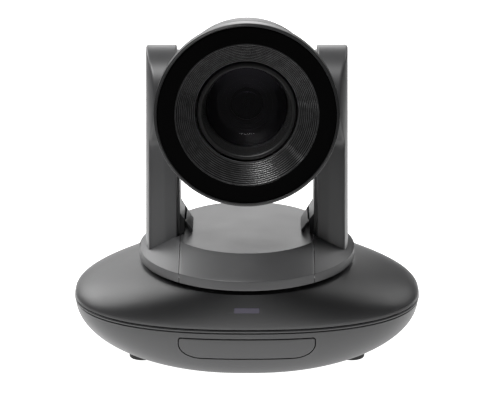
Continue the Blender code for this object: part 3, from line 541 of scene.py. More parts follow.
# %% The bowl's wall
def make_bowl():
    """Lip, side, floor and inner wall as one closed loop of rings."""
    rim_top = SPLIT_Z - GAP / 2
    lip_inset = np.array([BOWL_WALL / MM, 0.7, 0.35, 0.12, 0.0, 0.12, 1.0, 1.0]) * MM
    lip_height = rim_top - np.array([0.0, 0.0, 0.1, 0.4, 0.8, 1.15, 1.3, 1.85]) * MM
    lip = oval_rings(RIM_X - lip_inset, RIM_Y - lip_inset, RIM_POWER, lip_height)
    step = np.linspace(0.02, 1, 44)
    half_x, half_y, height = bowl_section(step)
    side = oval_rings(half_x - 0.4 * MM * (1 - step), half_y - 0.4 * MM * (1 - step), RIM_POWER, height)
    hole_height = np.array([FLOOR_Z, FLOOR_Z + BOWL_WALL])
    hole = oval_rings(FLOOR_HOLE_RADIUS, FLOOR_HOLE_RADIUS, 2.0, hole_height)
    half_x, half_y, height = bowl_section(step[::-2], BOWL_WALL)
    inside = oval_rings(half_x, half_y, RIM_POWER, height)
    return ring_piece("bowl", np.concatenate([lip, side, hole, inside]))


bowl = make_bowl()
print("bowl made:", len(bowl.data.vertices), "points")

# %% [markdown]
# ## Flush panels
# A panel sits in the front of the bowl and a small lamp window in the shell above it. Both are cut to a rounded
# outline and follow the curve of the wall they sit in, with a hairline all round. A flat plate would show its edges
# on a curved wall, so the panel's points are computed on the wall itself, and only its rim turns inward.

# %% Outlines and flush panels
def rounded_outline(half_width, low, high, low_corner, high_corner, grow=0.0, steps=8):
    """Points (x, z) of a rectangle about x = 0, moved outward by grow, lower right first.

    Each corner is a quarter ellipse, and low_corner and high_corner are its reach along (x, z).
    """
    right, bottom, top = half_width + grow, low - grow, high + grow
    low_x, low_z = np.maximum(np.array(low_corner) + grow, 1e-6)
    high_x, high_z = np.maximum(np.array(high_corner) + grow, 1e-6)
    t = np.linspace(0, math.pi / 2, steps + 1)
    arcs = []
    for centre, reach, start in (
        ((right - low_x, bottom + low_z), (low_x, low_z), -math.pi / 2),
        ((right - high_x, top - high_z), (high_x, high_z), 0.0),
        ((high_x - right, top - high_z), (high_x, high_z), math.pi / 2),
        ((low_x - right, bottom + low_z), (low_x, low_z), math.pi),
    ):
        turned = np.stack([np.cos(t + start), np.sin(t + start)], axis=-1)
        arcs.append(np.array(centre) + np.array(reach) * turned)
    loop = np.concatenate(arcs)
    ahead = np.roll(loop, -1, axis=0)
    share = np.linspace(0, 1, 6, endpoint=False)[None, :, None]
    return (loop[:, None, :] * (1 - share) + ahead[:, None, :] * share).reshape(-1, 2)


def wall_y(half_x, half_y, power, x):
    """The front of an oval: y = -half_y (1 - |x / half_x|^power)^(1 / power)."""
    return -half_y * (1 - np.clip(np.abs(x / half_x), 0, 1) ** power) ** (1 / power)


def bowl_front(x, z):
    """y on the outside of the bowl's front at (x, z): the height gives the step, and the step the oval."""
    top = SPLIT_Z - LIP_HEIGHT
    down = np.clip((top - z) / (top - FLOOR_Z), 0, 1)
    step = np.arcsin(down ** (BOWL_POWER / 2)) / (math.pi / 2)
    half_x, half_y, _ = bowl_section(step)
    slack = 0.4 * MM * (1 - step)
    return wall_y(half_x - slack, half_y - slack, RIM_POWER, x)


def flush_panel(name, outline, front, wall=1.8 * MM, edge=0.35 * MM):
    """Rings of the outline: the middle grown from its centre, a rounded rim, then straight back and closed."""
    rim = outline(-edge)
    centre = rim.mean(axis=0)
    rings = [centre + (rim - centre) * share for share in np.sin(np.linspace(0, math.pi / 2, 14))]
    sunk = [0.0] * len(rings)
    for turn in np.linspace(0, math.pi / 2, 4)[1:]:
        rings.append(outline(-edge * (1 - math.sin(turn))))
        sunk.append(edge * (1 - math.cos(turn)))
    rings += [outline(0.0), centre + (outline(0.0) - centre) * 1e-4]
    sunk += [wall, wall]
    flat = np.stack(rings)
    y = front(flat[..., 0], flat[..., 1]) + np.array(sunk)[:, None]
    y[-1] = y[-2].max()
    grid = np.stack([flat[..., 0], y, flat[..., 1]], axis=-1)
    return ring_piece(name, grid, loop=False)


def cutter_prism(outline, near=-0.09, far=-0.03):
    """The outline carried straight along y, closed at both ends, to cut an opening."""
    flat = outline
    centre = flat.mean(axis=0)
    rows = np.stack([centre + 0 * flat, flat, flat, centre + 0 * flat])
    depth = np.array([near, near, far, far])[:, None] + 0 * rows[..., 0]
    return ring_piece("cutter", np.stack([rows[..., 0], depth, rows[..., 1]], axis=-1), loop=False)


# %% The front cover and the bowl's openings
cover_low, cover_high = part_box("front_cover")


COVER_LOW_CORNER = (11.0 * MM, 7.5 * MM)
COVER_HIGH_CORNER = (1.2 * MM, 1.2 * MM)


def cover_outline(grow):
    return rounded_outline(cover_high.x, cover_low.z, cover_high.z, COVER_LOW_CORNER, COVER_HIGH_CORNER, grow)


front_cover = flush_panel("front_cover_panel", cover_outline, bowl_front)
combined(bowl, cutter_prism(cover_outline(GAP + 0.2 * MM)))
tray_low, tray_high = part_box("rear_io_panel")
TRAY_CORNER = (0.2 * MM, 0.2 * MM)
tray_outline = rounded_outline(tray_high.x, tray_low.z, tray_high.z, TRAY_CORNER, TRAY_CORNER, GAP)
combined(bowl, cutter_prism(tray_outline, 0.03, 0.09))
finished(bowl, "base", "satin_shell", shell_plastic, "base_bowl")
finished(front_cover, "base", "satin_shell", shell_plastic, "front_cover")

# %% [markdown]
# ## The top shell
# Above the split the base rises steeply at first and then flattens towards the turntable, and its plan turns from
# the squarish oval of the rim into a true circle. Both changes follow one number that runs from 0 at the rim to 1
# at the circle. The lamp window is set in its front.

# %% The top shell and the lamp window
DOME_POWER = 0.56
DOME_RADIUS = 56.2 * MM
DOME_HOLE = 30 * MM
window_low, window_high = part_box("status_led_window")
WINDOW_CORNER = (0.5 * MM, 0.5 * MM)


def dome_section(inward, inset=0.0):
    """Half widths, power and height of the top shell, from the rim (inward 0) to the turntable's edge (inward 1)."""
    low = SPLIT_Z + GAP / 2
    half_x = RIM_X + (DOME_RADIUS - RIM_X) * inward - inset
    half_y = RIM_Y + (DOME_RADIUS - RIM_Y) * inward - inset
    power = RIM_POWER + (2 - RIM_POWER) * inward
    return half_x, half_y, power, low + (DOME_TOP_Z - low - inset) * inward**DOME_POWER


def dome_front(x, z):
    """y on the outside of the top shell's front at (x, z)."""
    low = SPLIT_Z + GAP / 2
    inward = np.clip((z - low) / (DOME_TOP_Z - low), 0, 1) ** (1 / DOME_POWER)
    half_x, half_y, power, _ = dome_section(inward)
    return wall_y(half_x, half_y, power, x)


def make_dome():
    """A rounded lower edge, the rise, the flat under the turntable, and the inner wall."""
    low = SPLIT_Z + GAP / 2
    edge_inset = np.array([0.6, 0.25, 0.06]) * MM
    edge_height = low + np.array([0.0, 0.03, 0.15]) * MM
    edge = oval_rings(RIM_X - edge_inset, RIM_Y - edge_inset, RIM_POWER, edge_height)
    inward = np.linspace(0.10, 1, 46) ** 2
    rise = oval_rings(*dome_section(inward))
    hole = oval_rings(DOME_HOLE, DOME_HOLE, 2.0, np.array([DOME_TOP_Z, DOME_TOP_Z - BOWL_WALL]))
    inside = oval_rings(*dome_section(inward[::-2], BOWL_WALL))
    foot = oval_rings(RIM_X - BOWL_WALL, RIM_Y - BOWL_WALL, RIM_POWER, np.array([low]))
    return ring_piece("top_shell", np.concatenate([edge, rise, hole, inside, foot]))


def window_outline(grow):
    return rounded_outline(window_high.x, window_low.z, window_high.z, WINDOW_CORNER, WINDOW_CORNER, grow)


top_shell = make_dome()
lamp_window = flush_panel("lamp_window", window_outline, dome_front, 1.2 * MM, 0.12 * MM)
combined(top_shell, cutter_prism(window_outline(0.1 * MM)))
finished(top_shell, "base", "satin_shell", shell_plastic, "base_top_shell")
finished(lamp_window, "base", "smoked_window", smoked_window, "status_led_window")

# %% [markdown]
# ## Feet
# Four rubber feet stand under the bowl. Each is a short column whose top follows the bowl, so its upper ring has to
# find the bowl's height at each of its points. That height has no formula, but it falls steadily from rim to floor,
# so halving the interval a few dozen times finds it for every point at once.

# %% Feet under the bowl
def bowl_underside(x, y):
    """Height of the bowl's outside over (x, y), by halving the step between rim and floor."""
    low, high = np.zeros_like(x), np.ones_like(x)
    for _ in range(40):
        middle = (low + high) / 2
        half_x, half_y, _ = bowl_section(middle)
        outside = (np.abs(x) / half_x) ** RIM_POWER + (np.abs(y) / half_y) ** RIM_POWER > 1
        high = np.where(outside, middle, high)
        low = np.where(outside, low, middle)
    return bowl_section(low)[2]


def make_foot(name, node):
    """A column with a rounded lower edge and a shallow dished sole, its top ring on the bowl."""
    low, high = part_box(node)
    place = ((low.x + high.x) / 2, (low.y + high.y) / 2)
    radius = (high.x - low.x) / 2
    profile = np.array([[0, 0.25], [0.78, 0.25], [0.82, 0.06], [0.86, 0], [0.94, 0], [0.985, 0.12], [1.0, 0.4]])
    sole = around_post(profile * np.array([radius, MM]), 64, (*place, 0))
    top = around_post(np.array([[radius, 0.0], [1e-5, 0.0]]), 64, (*place, 0))
    top[..., 2] = bowl_underside(top[..., 0], top[..., 1]) - 0.05 * MM
    return finished(ring_piece(name, np.concatenate([sole, top]), loop=False), "base", "rubber", rubber, node)


for end in ("front", "rear"):
    for side in ("left", "right"):
        make_foot(f"rubber_foot_{end}_{side}", f"foot_{end}_{side}")

# %% [markdown]
# ## The turntable
# The turntable is a low round cap: an upright band, a cone that leans in, and a flat plate. Two straight seams
# split it. Between them lies the centre cover, and outside them each side is one moulding with its arm. A turned
# disc cut by planes would give ragged edges, so the cap is a grid of straight columns instead. Column x meets the
# profile's circle of radius r where y = -sqrt(r^2 - x^2).

# %% The cap's profile and its straight columns
CAP_WALL = 2.0 * MM
CAP_BAND_Z = 54.9 * MM
CAP_PLATE_RADIUS = 41.1 * MM
SHADOW_GAP = 1.0


def cap_profile(inset=0.0):
    """(radius, height) from the band's lower edge to the plate's edge; each corner is a small arc."""
    corners = np.array([
        [DISC_RADIUS / MM - 3, DISC_Z / MM + SHADOW_GAP],
        [DISC_RADIUS / MM, DISC_Z / MM + SHADOW_GAP],
        [DISC_RADIUS / MM, CAP_BAND_Z / MM],
        [CAP_PLATE_RADIUS / MM, PLATE_Z / MM],
        [CAP_PLATE_RADIUS / MM - 8, PLATE_Z / MM],
    ])
    rounded = filleted(corners, [0, 0.35, 0.3, 0.4, 0], 4).reshape(5, 5, 2)[1:4].reshape(-1, 2)
    side = rounded[4:5] + (rounded[5:6] - rounded[4:5]) * np.linspace(0, 1, 5)[1:-1, None]
    cone = rounded[9:10] + (rounded[10:11] - rounded[9:10]) * np.linspace(0, 1, 9)[1:-1, None]
    profile = np.concatenate([rounded[:5], side, rounded[5:10], cone, rounded[10:]])
    profile[:, 0] -= inset
    profile[:, 1] -= inset * np.linspace(0, 1, len(profile)) ** 0.5 * (profile[:, 1] > CAP_BAND_Z - 0.4 * MM)
    return profile


def cap_sheet(x, inset=0.0):
    """The cap over columns x: up the front along the profile, across the plate, and down the back.

    A column outside the plate's circle stops on the ridge where the cone is as wide as x, and its upper rows meet
    there.
    """
    profile = cap_profile(inset)
    radius = profile[:, :1] + 0 * x[None, :]
    ridge = np.interp(x, profile[::-1, 0], profile[::-1, 1])[None, :]
    height = np.where(radius > x[None, :], profile[:, 1:], ridge)
    reach = np.sqrt(np.clip(radius**2 - x[None, :] ** 2, 0, None))
    across = np.cos(np.linspace(0, math.pi, 26))[1:-1, None] * reach[-1:]
    y = np.concatenate([-reach, -across, reach[::-1]])
    z = np.concatenate([height, height[-1:] + 0 * across, height[::-1]])
    return np.stack([x[None, :] + 0 * y, y, z], axis=-1)


# %% The centre cover
def make_centre_cover():
    """The columns between the two seams, 2 mm thick, with softened seam edges."""
    x = np.linspace(-SEAM_X + GAP / 2, SEAM_X - GAP / 2, 61)
    cover = walled_piece("centre_cover", cap_sheet(x), cap_sheet(x, CAP_WALL))
    return softened(cover, 0.22, 55, 2)


finished(make_centre_cover(), "yoke", "satin_shell", shell_plastic, "turntable_cover")

# %% [markdown]
# ## The arms
# Seen from the side an arm is a straight column that swells at the top into a round crown. Seen from the front its
# inner side is flat and its outer side follows a circle about the pan axis, which narrows a little with height. The
# front edge is therefore a curve where the two meet, and it bows inward where the arm is deepest. The arm is one
# grid: rows climb the front outline, and columns run across the front, round the edge, over the side and back.

# %% The arm's outline and outer wall
ARM_HALF_DEPTH = 15.9 * MM
CROWN_RADIUS = arm_high.z - 140.5 * MM
CROWN_Z = 140.5 * MM
KNEE_Z = 116 * MM
ARM_WALL = 2.2 * MM
FACET_X = 42.3 * MM
FACET_LEAN = 1.1 * MM
ARM_RIM = 0.8 * MM


def arm_front_line(low, inset=0.0):
    """(y, z) up the arm's front: straight to the knee, an arc out to the crown's depth, and the crown to its top."""
    drop, step = CROWN_Z - KNEE_Z, CROWN_RADIUS - ARM_HALF_DEPTH
    bulge = (drop**2 + step**2) / (2 * step)
    bend = math.asin(drop / bulge)
    z = np.linspace(low, KNEE_Z, 26)[:-1]
    column = np.stack([-(ARM_HALF_DEPTH - inset) + 0 * z, z], axis=-1)
    t = np.linspace(bend, 0, 16)[:-1]
    reach = bulge - inset
    swell = np.stack([bulge - CROWN_RADIUS - reach * np.cos(t), CROWN_Z - reach * np.sin(t)], axis=-1)
    t = np.linspace(0, math.pi / 2, 30)
    crown = np.stack([-(CROWN_RADIUS - inset) * np.cos(t), CROWN_Z + (CROWN_RADIUS - inset) * np.sin(t)], axis=-1)
    return np.concatenate([column, swell, crown])


def outer_wall_x(y, z):
    """x of the arm's outer wall: a circle about the pan axis whose radius falls by 1.2 mm from plate to crown."""
    radius = 53.1 * MM - 1.2 * MM * (z - PLATE_Z) / (CROWN_Z - PLATE_Z)
    return np.sqrt(radius**2 - y**2)


def arm_sheet(low, inner_x, inset=0.0, edge=1.0 * MM):
    """The arm's surface. d is how far a point lies inside the outline and e how far inside the outer wall."""
    turn = np.linspace(0, math.pi / 2, 6)
    rim = ARM_RIM * (1 - np.cos(turn))
    face = np.concatenate([np.zeros(len(rim)), np.linspace(0, 1, 18)[1:-1]])
    columns_d = np.concatenate([ARM_RIM * (1 - np.sin(turn)), 0 * face[len(rim):], edge * (1 - np.cos(turn))])
    columns_e = np.concatenate([0 * face, edge * (1 - np.sin(turn))])
    lines = np.stack([arm_front_line(low, inset + d) for d in columns_d], axis=1)
    y, z = lines[..., 0], lines[..., 1]
    wall = outer_wall_x(y, z) - inset
    x = wall - columns_e[None, :]
    count = len(face)
    brow = wall[:, :count] - edge
    x[:, :count] = inner_x + ARM_RIM + (brow - inner_x - ARM_RIM) * face[None, :]
    x[:, :len(rim)] = inner_x + rim[None, :]
    below_knee = np.clip((KNEE_Z - z[:, :count]) / (1.5 * MM), 0, 1)
    facet = np.clip((x[:, :count] - FACET_X) / (brow - FACET_X), 0, 1)
    lean = below_knee * (facet - 0.4) * FACET_LEAN
    front_y = y.copy()
    front_y[:, :count] += lean
    front_y[:, count:] += below_knee[:, -1:] * 0.6 * FACET_LEAN * np.cos(turn)[None, :] ** 2
    front = np.stack([x, front_y, z], axis=-1)
    across = np.linspace(-1, 1, 24)[1:-1][None, :]
    side_y = -across * y[:, -1:]
    side_z = z[:, -1:] + 0 * side_y
    side = np.stack([outer_wall_x(side_y, side_z) - inset, side_y, side_z], axis=-1)
    back = front[:, ::-1] * np.array([1, -1, 1])
    return np.concatenate([front, side, back], axis=1)


sample = arm_sheet(PLATE_Z, SEAM_X)
print("arm grid", sample.shape[:2], "top at", round(float(sample[..., 2].max() / MM), 1), "mm")

# %% [markdown]
# An arm shell is one moulding with its side of the cap, hollow and open towards the middle. The solid column is
# added to the cap's side, and then a smaller column, 2.2 mm inside the first, is cut out of both. The other arm is
# the same mesh with x turned round, and its faces reversed so that they still look outward.

# %% The arm shells
def column_solid(name, low, inner_x, inset, edge):
    """The arm's sheet closed across its inner side and under its foot."""
    sheet = arm_sheet(low, inner_x, inset, edge)
    foot = sheet[:1].mean(axis=1, keepdims=True) + 0 * sheet[:1]
    return ring_piece(name, np.concatenate([foot, sheet]), loop=False)


def mirrored(target, name):
    """A copy on the other side of the camera: x turned round and faces reversed."""
    bm = bmesh.new()
    bm.from_mesh(target.data)
    bmesh.ops.scale(bm, vec=(-1, 1, 1), verts=bm.verts)
    bmesh.ops.reverse_faces(bm, faces=bm.faces)
    mesh = bpy.data.meshes.new(name)
    bm.to_mesh(mesh)
    bm.free()
    mesh.shade_smooth()
    mesh.set_sharp_from_angle(angle=math.radians(35))
    made = bpy.data.objects.new(name, mesh)
    bpy.context.scene.collection.objects.link(made)
    return made


def make_arm_shell():
    inner_x = SEAM_X + GAP / 2
    x = DISC_RADIUS * np.cos(np.linspace(math.acos(inner_x / DISC_RADIUS), 0.0, 44))
    inner_columns = x - 0.6 * CAP_WALL * (x - inner_x) / DISC_RADIUS
    arm = walled_piece("arm_right", cap_sheet(x), cap_sheet(inner_columns, CAP_WALL))
    softened(arm, 0.22, 55, 2)
    combined(arm, column_solid("column", 53 * MM, ARM_INNER_X, 0.0, 1.0 * MM), "UNION")
    combined(arm, column_solid("core", 45 * MM, 30 * MM, ARM_WALL, 0.4 * MM))
    return arm


arm_right = make_arm_shell()
arm_left = mirrored(arm_right, "arm_left")
finished(arm_right, "yoke", "satin_shell", shell_plastic, "arm_shell_right")
finished(arm_left, "yoke", "satin_shell", shell_plastic, "arm_shell_left")

# %% [markdown]
# ## The inner covers
# A flat panel closes each arm towards the head, inset a little from the arm's edge, with a round hole for the tilt
# shaft and a small flared skirt at its foot. The panel is a grid between two loops, the arm's outline and the hole:
# each column joins a point of the outline to the point of the hole in the same direction.

# %% The panel between outline and hole
COVER_INSET = 2.5 * MM
COVER_WALL = 1.6 * MM
SHAFT_HOLE = 6.5 * MM


def make_cover_panel():
    """Hole wall, rounded hole edge, flat face, rounded outer edge and back, as one closed loop of rings."""
    face_x = SEAM_X + GAP / 2
    edge = 0.3 * MM

    def loop(extra):
        line = arm_front_line(PLATE_Z + GAP, COVER_INSET + extra)
        return np.concatenate([line, line[-2::-1] * np.array([-1, 1])])

    rim, rim_inner = loop(0.0), loop(edge)
    centre = np.array([0.0, TILT_Z])
    direction = (rim - centre) / np.linalg.norm(rim - centre, axis=1, keepdims=True)
    hole, hole_outer = centre + SHAFT_HOLE * direction, centre + (SHAFT_HOLE + edge) * direction
    flat = [hole, hole, hole_outer] + [hole_outer + (rim_inner - hole_outer) * t for t in (0.33, 0.66, 1.0)]
    depth = [COVER_WALL, edge, 0.0, 0.0, 0.0, 0.0]
    flat += [rim, rim]
    depth += [edge, COVER_WALL]
    flat = np.stack(flat)
    x = face_x + np.array(depth)[:, None] + 0 * flat[..., 0]
    return ring_piece("arm_cover", np.stack([x, flat[..., 0], flat[..., 1]], axis=-1))


# %% The flared skirt at the panel's foot
SKIRT_TIP_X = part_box("arm_cover_right")[0].x
SKIRT_TOP_Z = 77 * MM


def skirt_wedge(name, inset=0.0):
    """A wedge from the panel down to the plate. With an inset it is the pocket inside, open to the front."""
    low = PLATE_Z + GAP - 4 * inset
    root = SEAM_X + GAP / 2 + 0.6 * MM - (2 * inset if inset else 0)
    tip = SKIRT_TIP_X + inset
    front, back = -13 * MM - 4 * inset, 12 * MM - inset
    tip_front, tip_back = -9.2 * MM - 4 * inset, 9.8 * MM - inset
    edge_z = PLATE_Z + GAP + 1.5 * MM - inset
    points = [(root, front, low), (tip, tip_front, low), (tip, tip_back, low), (root, back, low)]
    points += [(tip, tip_front, edge_z), (tip, tip_back, edge_z)]
    points += [(root, front, SKIRT_TOP_Z - 2 * inset), (root, back, SKIRT_TOP_Z - 2 * inset)]
    faces = [(0, 1, 2, 3), (1, 2, 5, 4), (4, 5, 7, 6), (0, 1, 4, 6), (2, 3, 7, 5), (3, 0, 6, 7)]
    return piece(name, points, faces, 30)


def make_arm_cover():
    cover = make_cover_panel()
    combined(cover, softened(skirt_wedge("skirt"), 0.35, 20, 3), "UNION")
    combined(cover, skirt_wedge("pocket", 1.3 * MM))
    return cover


cover_right = make_arm_cover()
cover_right.name = "inner_cover_right"
cover_left = mirrored(cover_right, "inner_cover_left")
finished(cover_right, "yoke", "satin_shell", shell_plastic, "arm_cover_right")
finished(cover_left, "yoke", "satin_shell", shell_plastic, "arm_cover_left")

# %% [markdown]
# ## The head's front
# The front is a set of rings about the lens. The bezel has a fine double lip at its outer edge. Inside it lies a
# flat ring of polished black, and then the hood, a cone with eleven fine ribs that break up stray light. Ribs
# painted with a bump would vanish at the silhouette and in the exported mesh, so they are in the profile.

# %% Bezel and face ring
BEZEL_BACK_Y = -36.0
bezel_profile = filleted(
    [(44.7, -41.5), (44.7, -45.0), (45.3, -45.0), (45.42, -44.55), (46.2, -44.4), (46.2, BEZEL_BACK_Y),
     (38.2, BEZEL_BACK_Y), (38.2, -41.5)],
    [0.1, 0.18, 0.2, 0.08, 0.4, 0.9, 0.3, 0.1],
)
face_profile = filleted([(35.9, -43.7), (44.4, -44.2), (44.4, -41.8), (35.9, -41.8)], [0.2, 0.2, 0.1, 0.1])
bezel = ring_piece("bezel", to_head(around_lens(bezel_profile, 240)))
face_ring = ring_piece("face_band", to_head(around_lens(face_profile, 240)))
finished(bezel, "head", "satin_shell", bezel_plastic, "front_bezel")
finished(face_ring, "head", "gloss_black", gloss_black, "face_ring")

# %% The ribbed hood
HOOD_RIBS = 11
RIB_HEIGHT = 0.55 * MM


def hood_profile():
    """The cone's slope with round ribs between sharp grooves, RIB_HEIGHT (1 - |sin|) deep, then a plain back."""
    start, stop = np.array([35.6, -43.7]) * MM, np.array([25.7, -35.7]) * MM
    t = np.linspace(0, 1, HOOD_RIBS * 10 + 1)[:, None]
    along = (stop - start) / np.linalg.norm(stop - start)
    into_wall = np.array([along[1], -along[0]])
    groove = RIB_HEIGHT * (1 - np.abs(np.sin(math.pi * HOOD_RIBS * t)))
    slope = start + (stop - start) * t + into_wall * groove
    back = np.array([[25.7, -33.7], [27.6, -33.7], [35.6, -40.6]]) * MM
    return np.concatenate([slope, back])


hood = ring_piece("ribbed_hood", to_head(around_lens(hood_profile(), 200)), 60)
finished(hood, "head", "black_plastic", hood_plastic, "lens_hood")

# %% [markdown]
# ## Barrel and front lens
# The barrel ends in a rounded nose, and its bore narrows in fine steps that trap light. The front lens is a
# spherical cap, thick enough at its rim to be held. Its radius follows from its width and its rise: (w^2 + h^2) /
# (2 h).

# %% The barrel's nose and bore, and the glass
GLASS_RADIUS = 20.3 * MM
GLASS_RISE = 4.0 * MM


def barrel_profile():
    """A rounded nose, a stepped bore, and the plain tube behind it."""
    nose = filleted([(24.9, -30.0), (24.9, -34.0), (22.5, -34.2), (22.2, -30.0)], [0, 1.1, 0.7, 0], 6)[7:21]
    steps = 9
    t = np.linspace(0, 1, steps + 1)
    radius = 22.2 + (20.9 - 22.2) * t
    depth = -32.6 + (-24.0 + 32.6) * t
    stairs = np.stack([np.repeat(radius, 2)[1:-1], np.repeat(depth, 2)[:-2]], axis=-1) * MM
    rest = np.array([[20.6, -23.4], [20.6, 20.0], [24.9, 20.0]]) * MM
    return np.concatenate([nose, stairs, rest])


def glass_profile(radius, front, back, rise):
    """From the front pole out along a sphere to the rim and back along a plane."""
    sphere = (radius**2 + rise**2) / (2 * rise)
    r = radius * np.sin(np.linspace(0, math.pi / 2, 26))
    dome = front + sphere - np.sqrt(sphere**2 - r**2)
    r_back = r[::-1]
    return np.concatenate([np.stack([r, dome], axis=-1), np.stack([r_back, back + 0 * r_back], axis=-1)])


barrel = ring_piece("barrel", to_head(around_lens(barrel_profile(), 180)), 28)
glass_section = glass_profile(GLASS_RADIUS, -25.5 * MM, -17 * MM, GLASS_RISE)
glass = ring_piece("front_glass", to_head(around_lens(glass_section, 128)), 40, loop=False)
finished(barrel, "head", "black_plastic", black_plastic, "lens_barrel")
finished(glass, "head", "lens_glass", lens_glass, "front_lens")

# %% [markdown]
# Behind the front lens two smaller glasses slide in black carriers, one for zoom and one for focus. A bare disc of
# glass would show the sensor's board through the front lens, so each carrier is a wide black ring whose stepped
# front leaves only a small opening, and the glass fills that opening.

# %% The zoom and focus carriers
CARRIER_RADIUS = 20.1
STAIR_FOOT = 3.2


def make_carrier(name, body, node, front, back, opening):
    """A ring from the barrel's bore in to the opening, stepped like a staircase in front, and its biconvex glass.

    All lengths are in mm. Each face of the glass rises along an ellipse: height (1 - (r / opening)^2)^(1/2).
    """
    brim = CARRIER_RADIUS - 1.2
    stairs = np.array([[brim, front], [brim, front + 1.2], [opening + 4.5, front + 1.2],
                       [opening + 4.5, front + 2.2], [opening + 2.2, front + 2.2],
                       [opening + 2.2, front + STAIR_FOOT], [opening, front + STAIR_FOOT]])
    ring = np.concatenate([[[CARRIER_RADIUS, front]], stairs, [[opening, back], [CARRIER_RADIUS, back]]])
    carrier = ring_piece(f"{name}_carrier", to_head(around_lens(filleted(ring, 0.12, 2), 96)), 30)
    finished(carrier, body, "black_plastic", black_plastic)
    rise, middle = 1.3, (front + STAIR_FOOT + back) / 2
    r = (opening - 0.1) * np.sin(np.linspace(0, math.pi / 2, 12))
    bulge = rise * np.sqrt(np.clip(1 - (r / opening) ** 2, 0, 1)) + 0.2
    faces = np.concatenate([np.stack([r, middle - bulge], axis=-1), np.stack([r, middle + bulge], axis=-1)[::-1]])
    lens = ring_piece(f"{name}_glass", to_head(around_lens(faces * MM, 64)), 40, loop=False)
    finished(lens, body, "lens_glass", lens_glass, node)


make_carrier("zoom", "zoom_group", "zoom_lens_group", -14.0, -7.0, 7.5)
make_carrier("focus", "focus_group", "focus_lens_group", 11.0, 16.0, 6.0)

# %% [markdown]
# ## The head's housing
# Behind the bezel the head is a drum with two flat cheeks that clear the arms, closed by a rounded cover. A circle
# cut by straight cheeks has a hard corner. Here the radius in each direction blends the circle and the cheek with a
# high power mean, which leaves a small round where they meet.

# %% Housing and rear cover
HOUSING_RADIUS = 39 * MM
CHEEK_X = 33.4 * MM
HOUSING_WALL = 2 * MM
HEAD_BACK_Y = 34.7 * MM


def drum(profile, inner, sides=240):
    """Rings whose radius is r / (1 + (r |sin a| / cheek)^n)^(1/n); inner rows use a cheek one wall further in."""
    angle = circle(sides)[None, :]
    radius, depth = profile[:, :1], profile[:, 1:]
    cheek = CHEEK_X - HOUSING_WALL * inner[:, None]
    blend = 34.0
    share = radius * np.abs(np.sin(angle)) / cheek
    r = radius / (1 + share**blend) ** (1 / blend)
    return to_head(np.stack([r * np.sin(angle), depth + 0 * r, r * np.cos(angle)], axis=-1))


def make_housing():
    """A straight drum wall with rounded ends."""
    front = BEZEL_BACK_Y + 0.3
    profile = filleted([(39, front), (39, 12), (37, 12), (37, front)], 0.3)
    inner = (profile[:, 0] < 38 * MM) * 1.0
    return ring_piece("head_drum", drum(profile, inner))


def make_rear_cover():
    """The drum's rounded back: outside to the pole, and back along the inside, which is a wall further in."""
    corner = 12 * MM
    turn = np.linspace(0, math.pi / 2, 16)
    edge = filleted([(36, 12.3), (39, 12.3), (39, 20), (36, 20)], [0, 0.3, 0, 0])[5:10]
    centre, direction = np.array([HOUSING_RADIUS, HEAD_BACK_Y]) - corner, np.stack([np.cos(turn), np.sin(turn)], -1)
    arc = centre + corner * direction
    flat = np.stack([np.linspace(HOUSING_RADIUS - corner, 0, 12)[1:], np.full(11, HEAD_BACK_Y)], axis=-1)
    outside = np.concatenate([edge, arc, flat])
    arc = centre + (corner - HOUSING_WALL) * direction
    flat_inside = flat - np.array([0, HOUSING_WALL])
    lip = np.array([[37.0, 12.3]]) * MM
    inside = np.concatenate([lip, arc, flat_inside])[::-1]
    profile = np.concatenate([outside, inside])
    inner = np.concatenate([np.zeros(len(outside)), np.ones(len(inside))])
    return ring_piece("head_back", drum(profile, inner))


finished(make_housing(), "head", "satin_shell", shell_plastic, "head_housing")
finished(make_rear_cover(), "head", "satin_shell", shell_plastic, "head_rear_cover")

# %% [markdown]
# ## Pieces that keep their shape
# What lies inside, behind and underneath is already right in the working model: boards, brackets, shafts, pulleys,
# belts, motors and sockets. Those pieces only get their finishes.

# %% Finishes for the working model's own pieces
KEPT_FINISHES = {
    sheet_steel: ("bottom_plate", "base_chassis", "turntable_deck", "arm_bracket_left", "arm_bracket_right"),
    bright_steel: ("coax_socket", "video_socket", "data_socket", "network_socket", "pan_bearing", "pan_shaft",
                   "tilt_bearing_left", "tilt_bearing_right", "tilt_shaft_left", "tilt_shaft_right"),
    turned_brass: ("tripod_insert", "pan_motor_pulley", "tilt_motor_pulley"),
    cast_aluminium: ("head_chassis", "pan_motor", "tilt_motor"),
    solder_mask: ("main_circuit_board", "led_board", "sensor_board"),
    black_plastic: ("rear_io_panel", "infrared_receiver", "audio_socket", "serial_socket", "power_socket",
                    "reset_button", "pan_pulley", "tilt_pulley"),
    gloss_black: ("format_dial",),
    belt_rubber: ("pan_belt", "tilt_belt"),
}
for finish, names in KEPT_FINISHES.items():
    for name in names:
        kept = frame["nodes"][name]
        if not kept.material_slots:
            kept.data.materials.append(finish)
        kept.material_slots[0].material = finish
print("finished", sum(len(names) for names in KEPT_FINISHES.values()), "pieces of the working model")

# %% [markdown]
# ## Floor and light
# The camera stands on a narrow white sweep that glows a little, as overexposed paper does, and lights the bowl from
# below. Three soft boxes stand behind it: the large one makes the flat tops bright, and the two beside it shade the
# top shell from left to right. The floor ends a hand's breadth in front, so that the black ring and the glass have
# something dark to reflect.

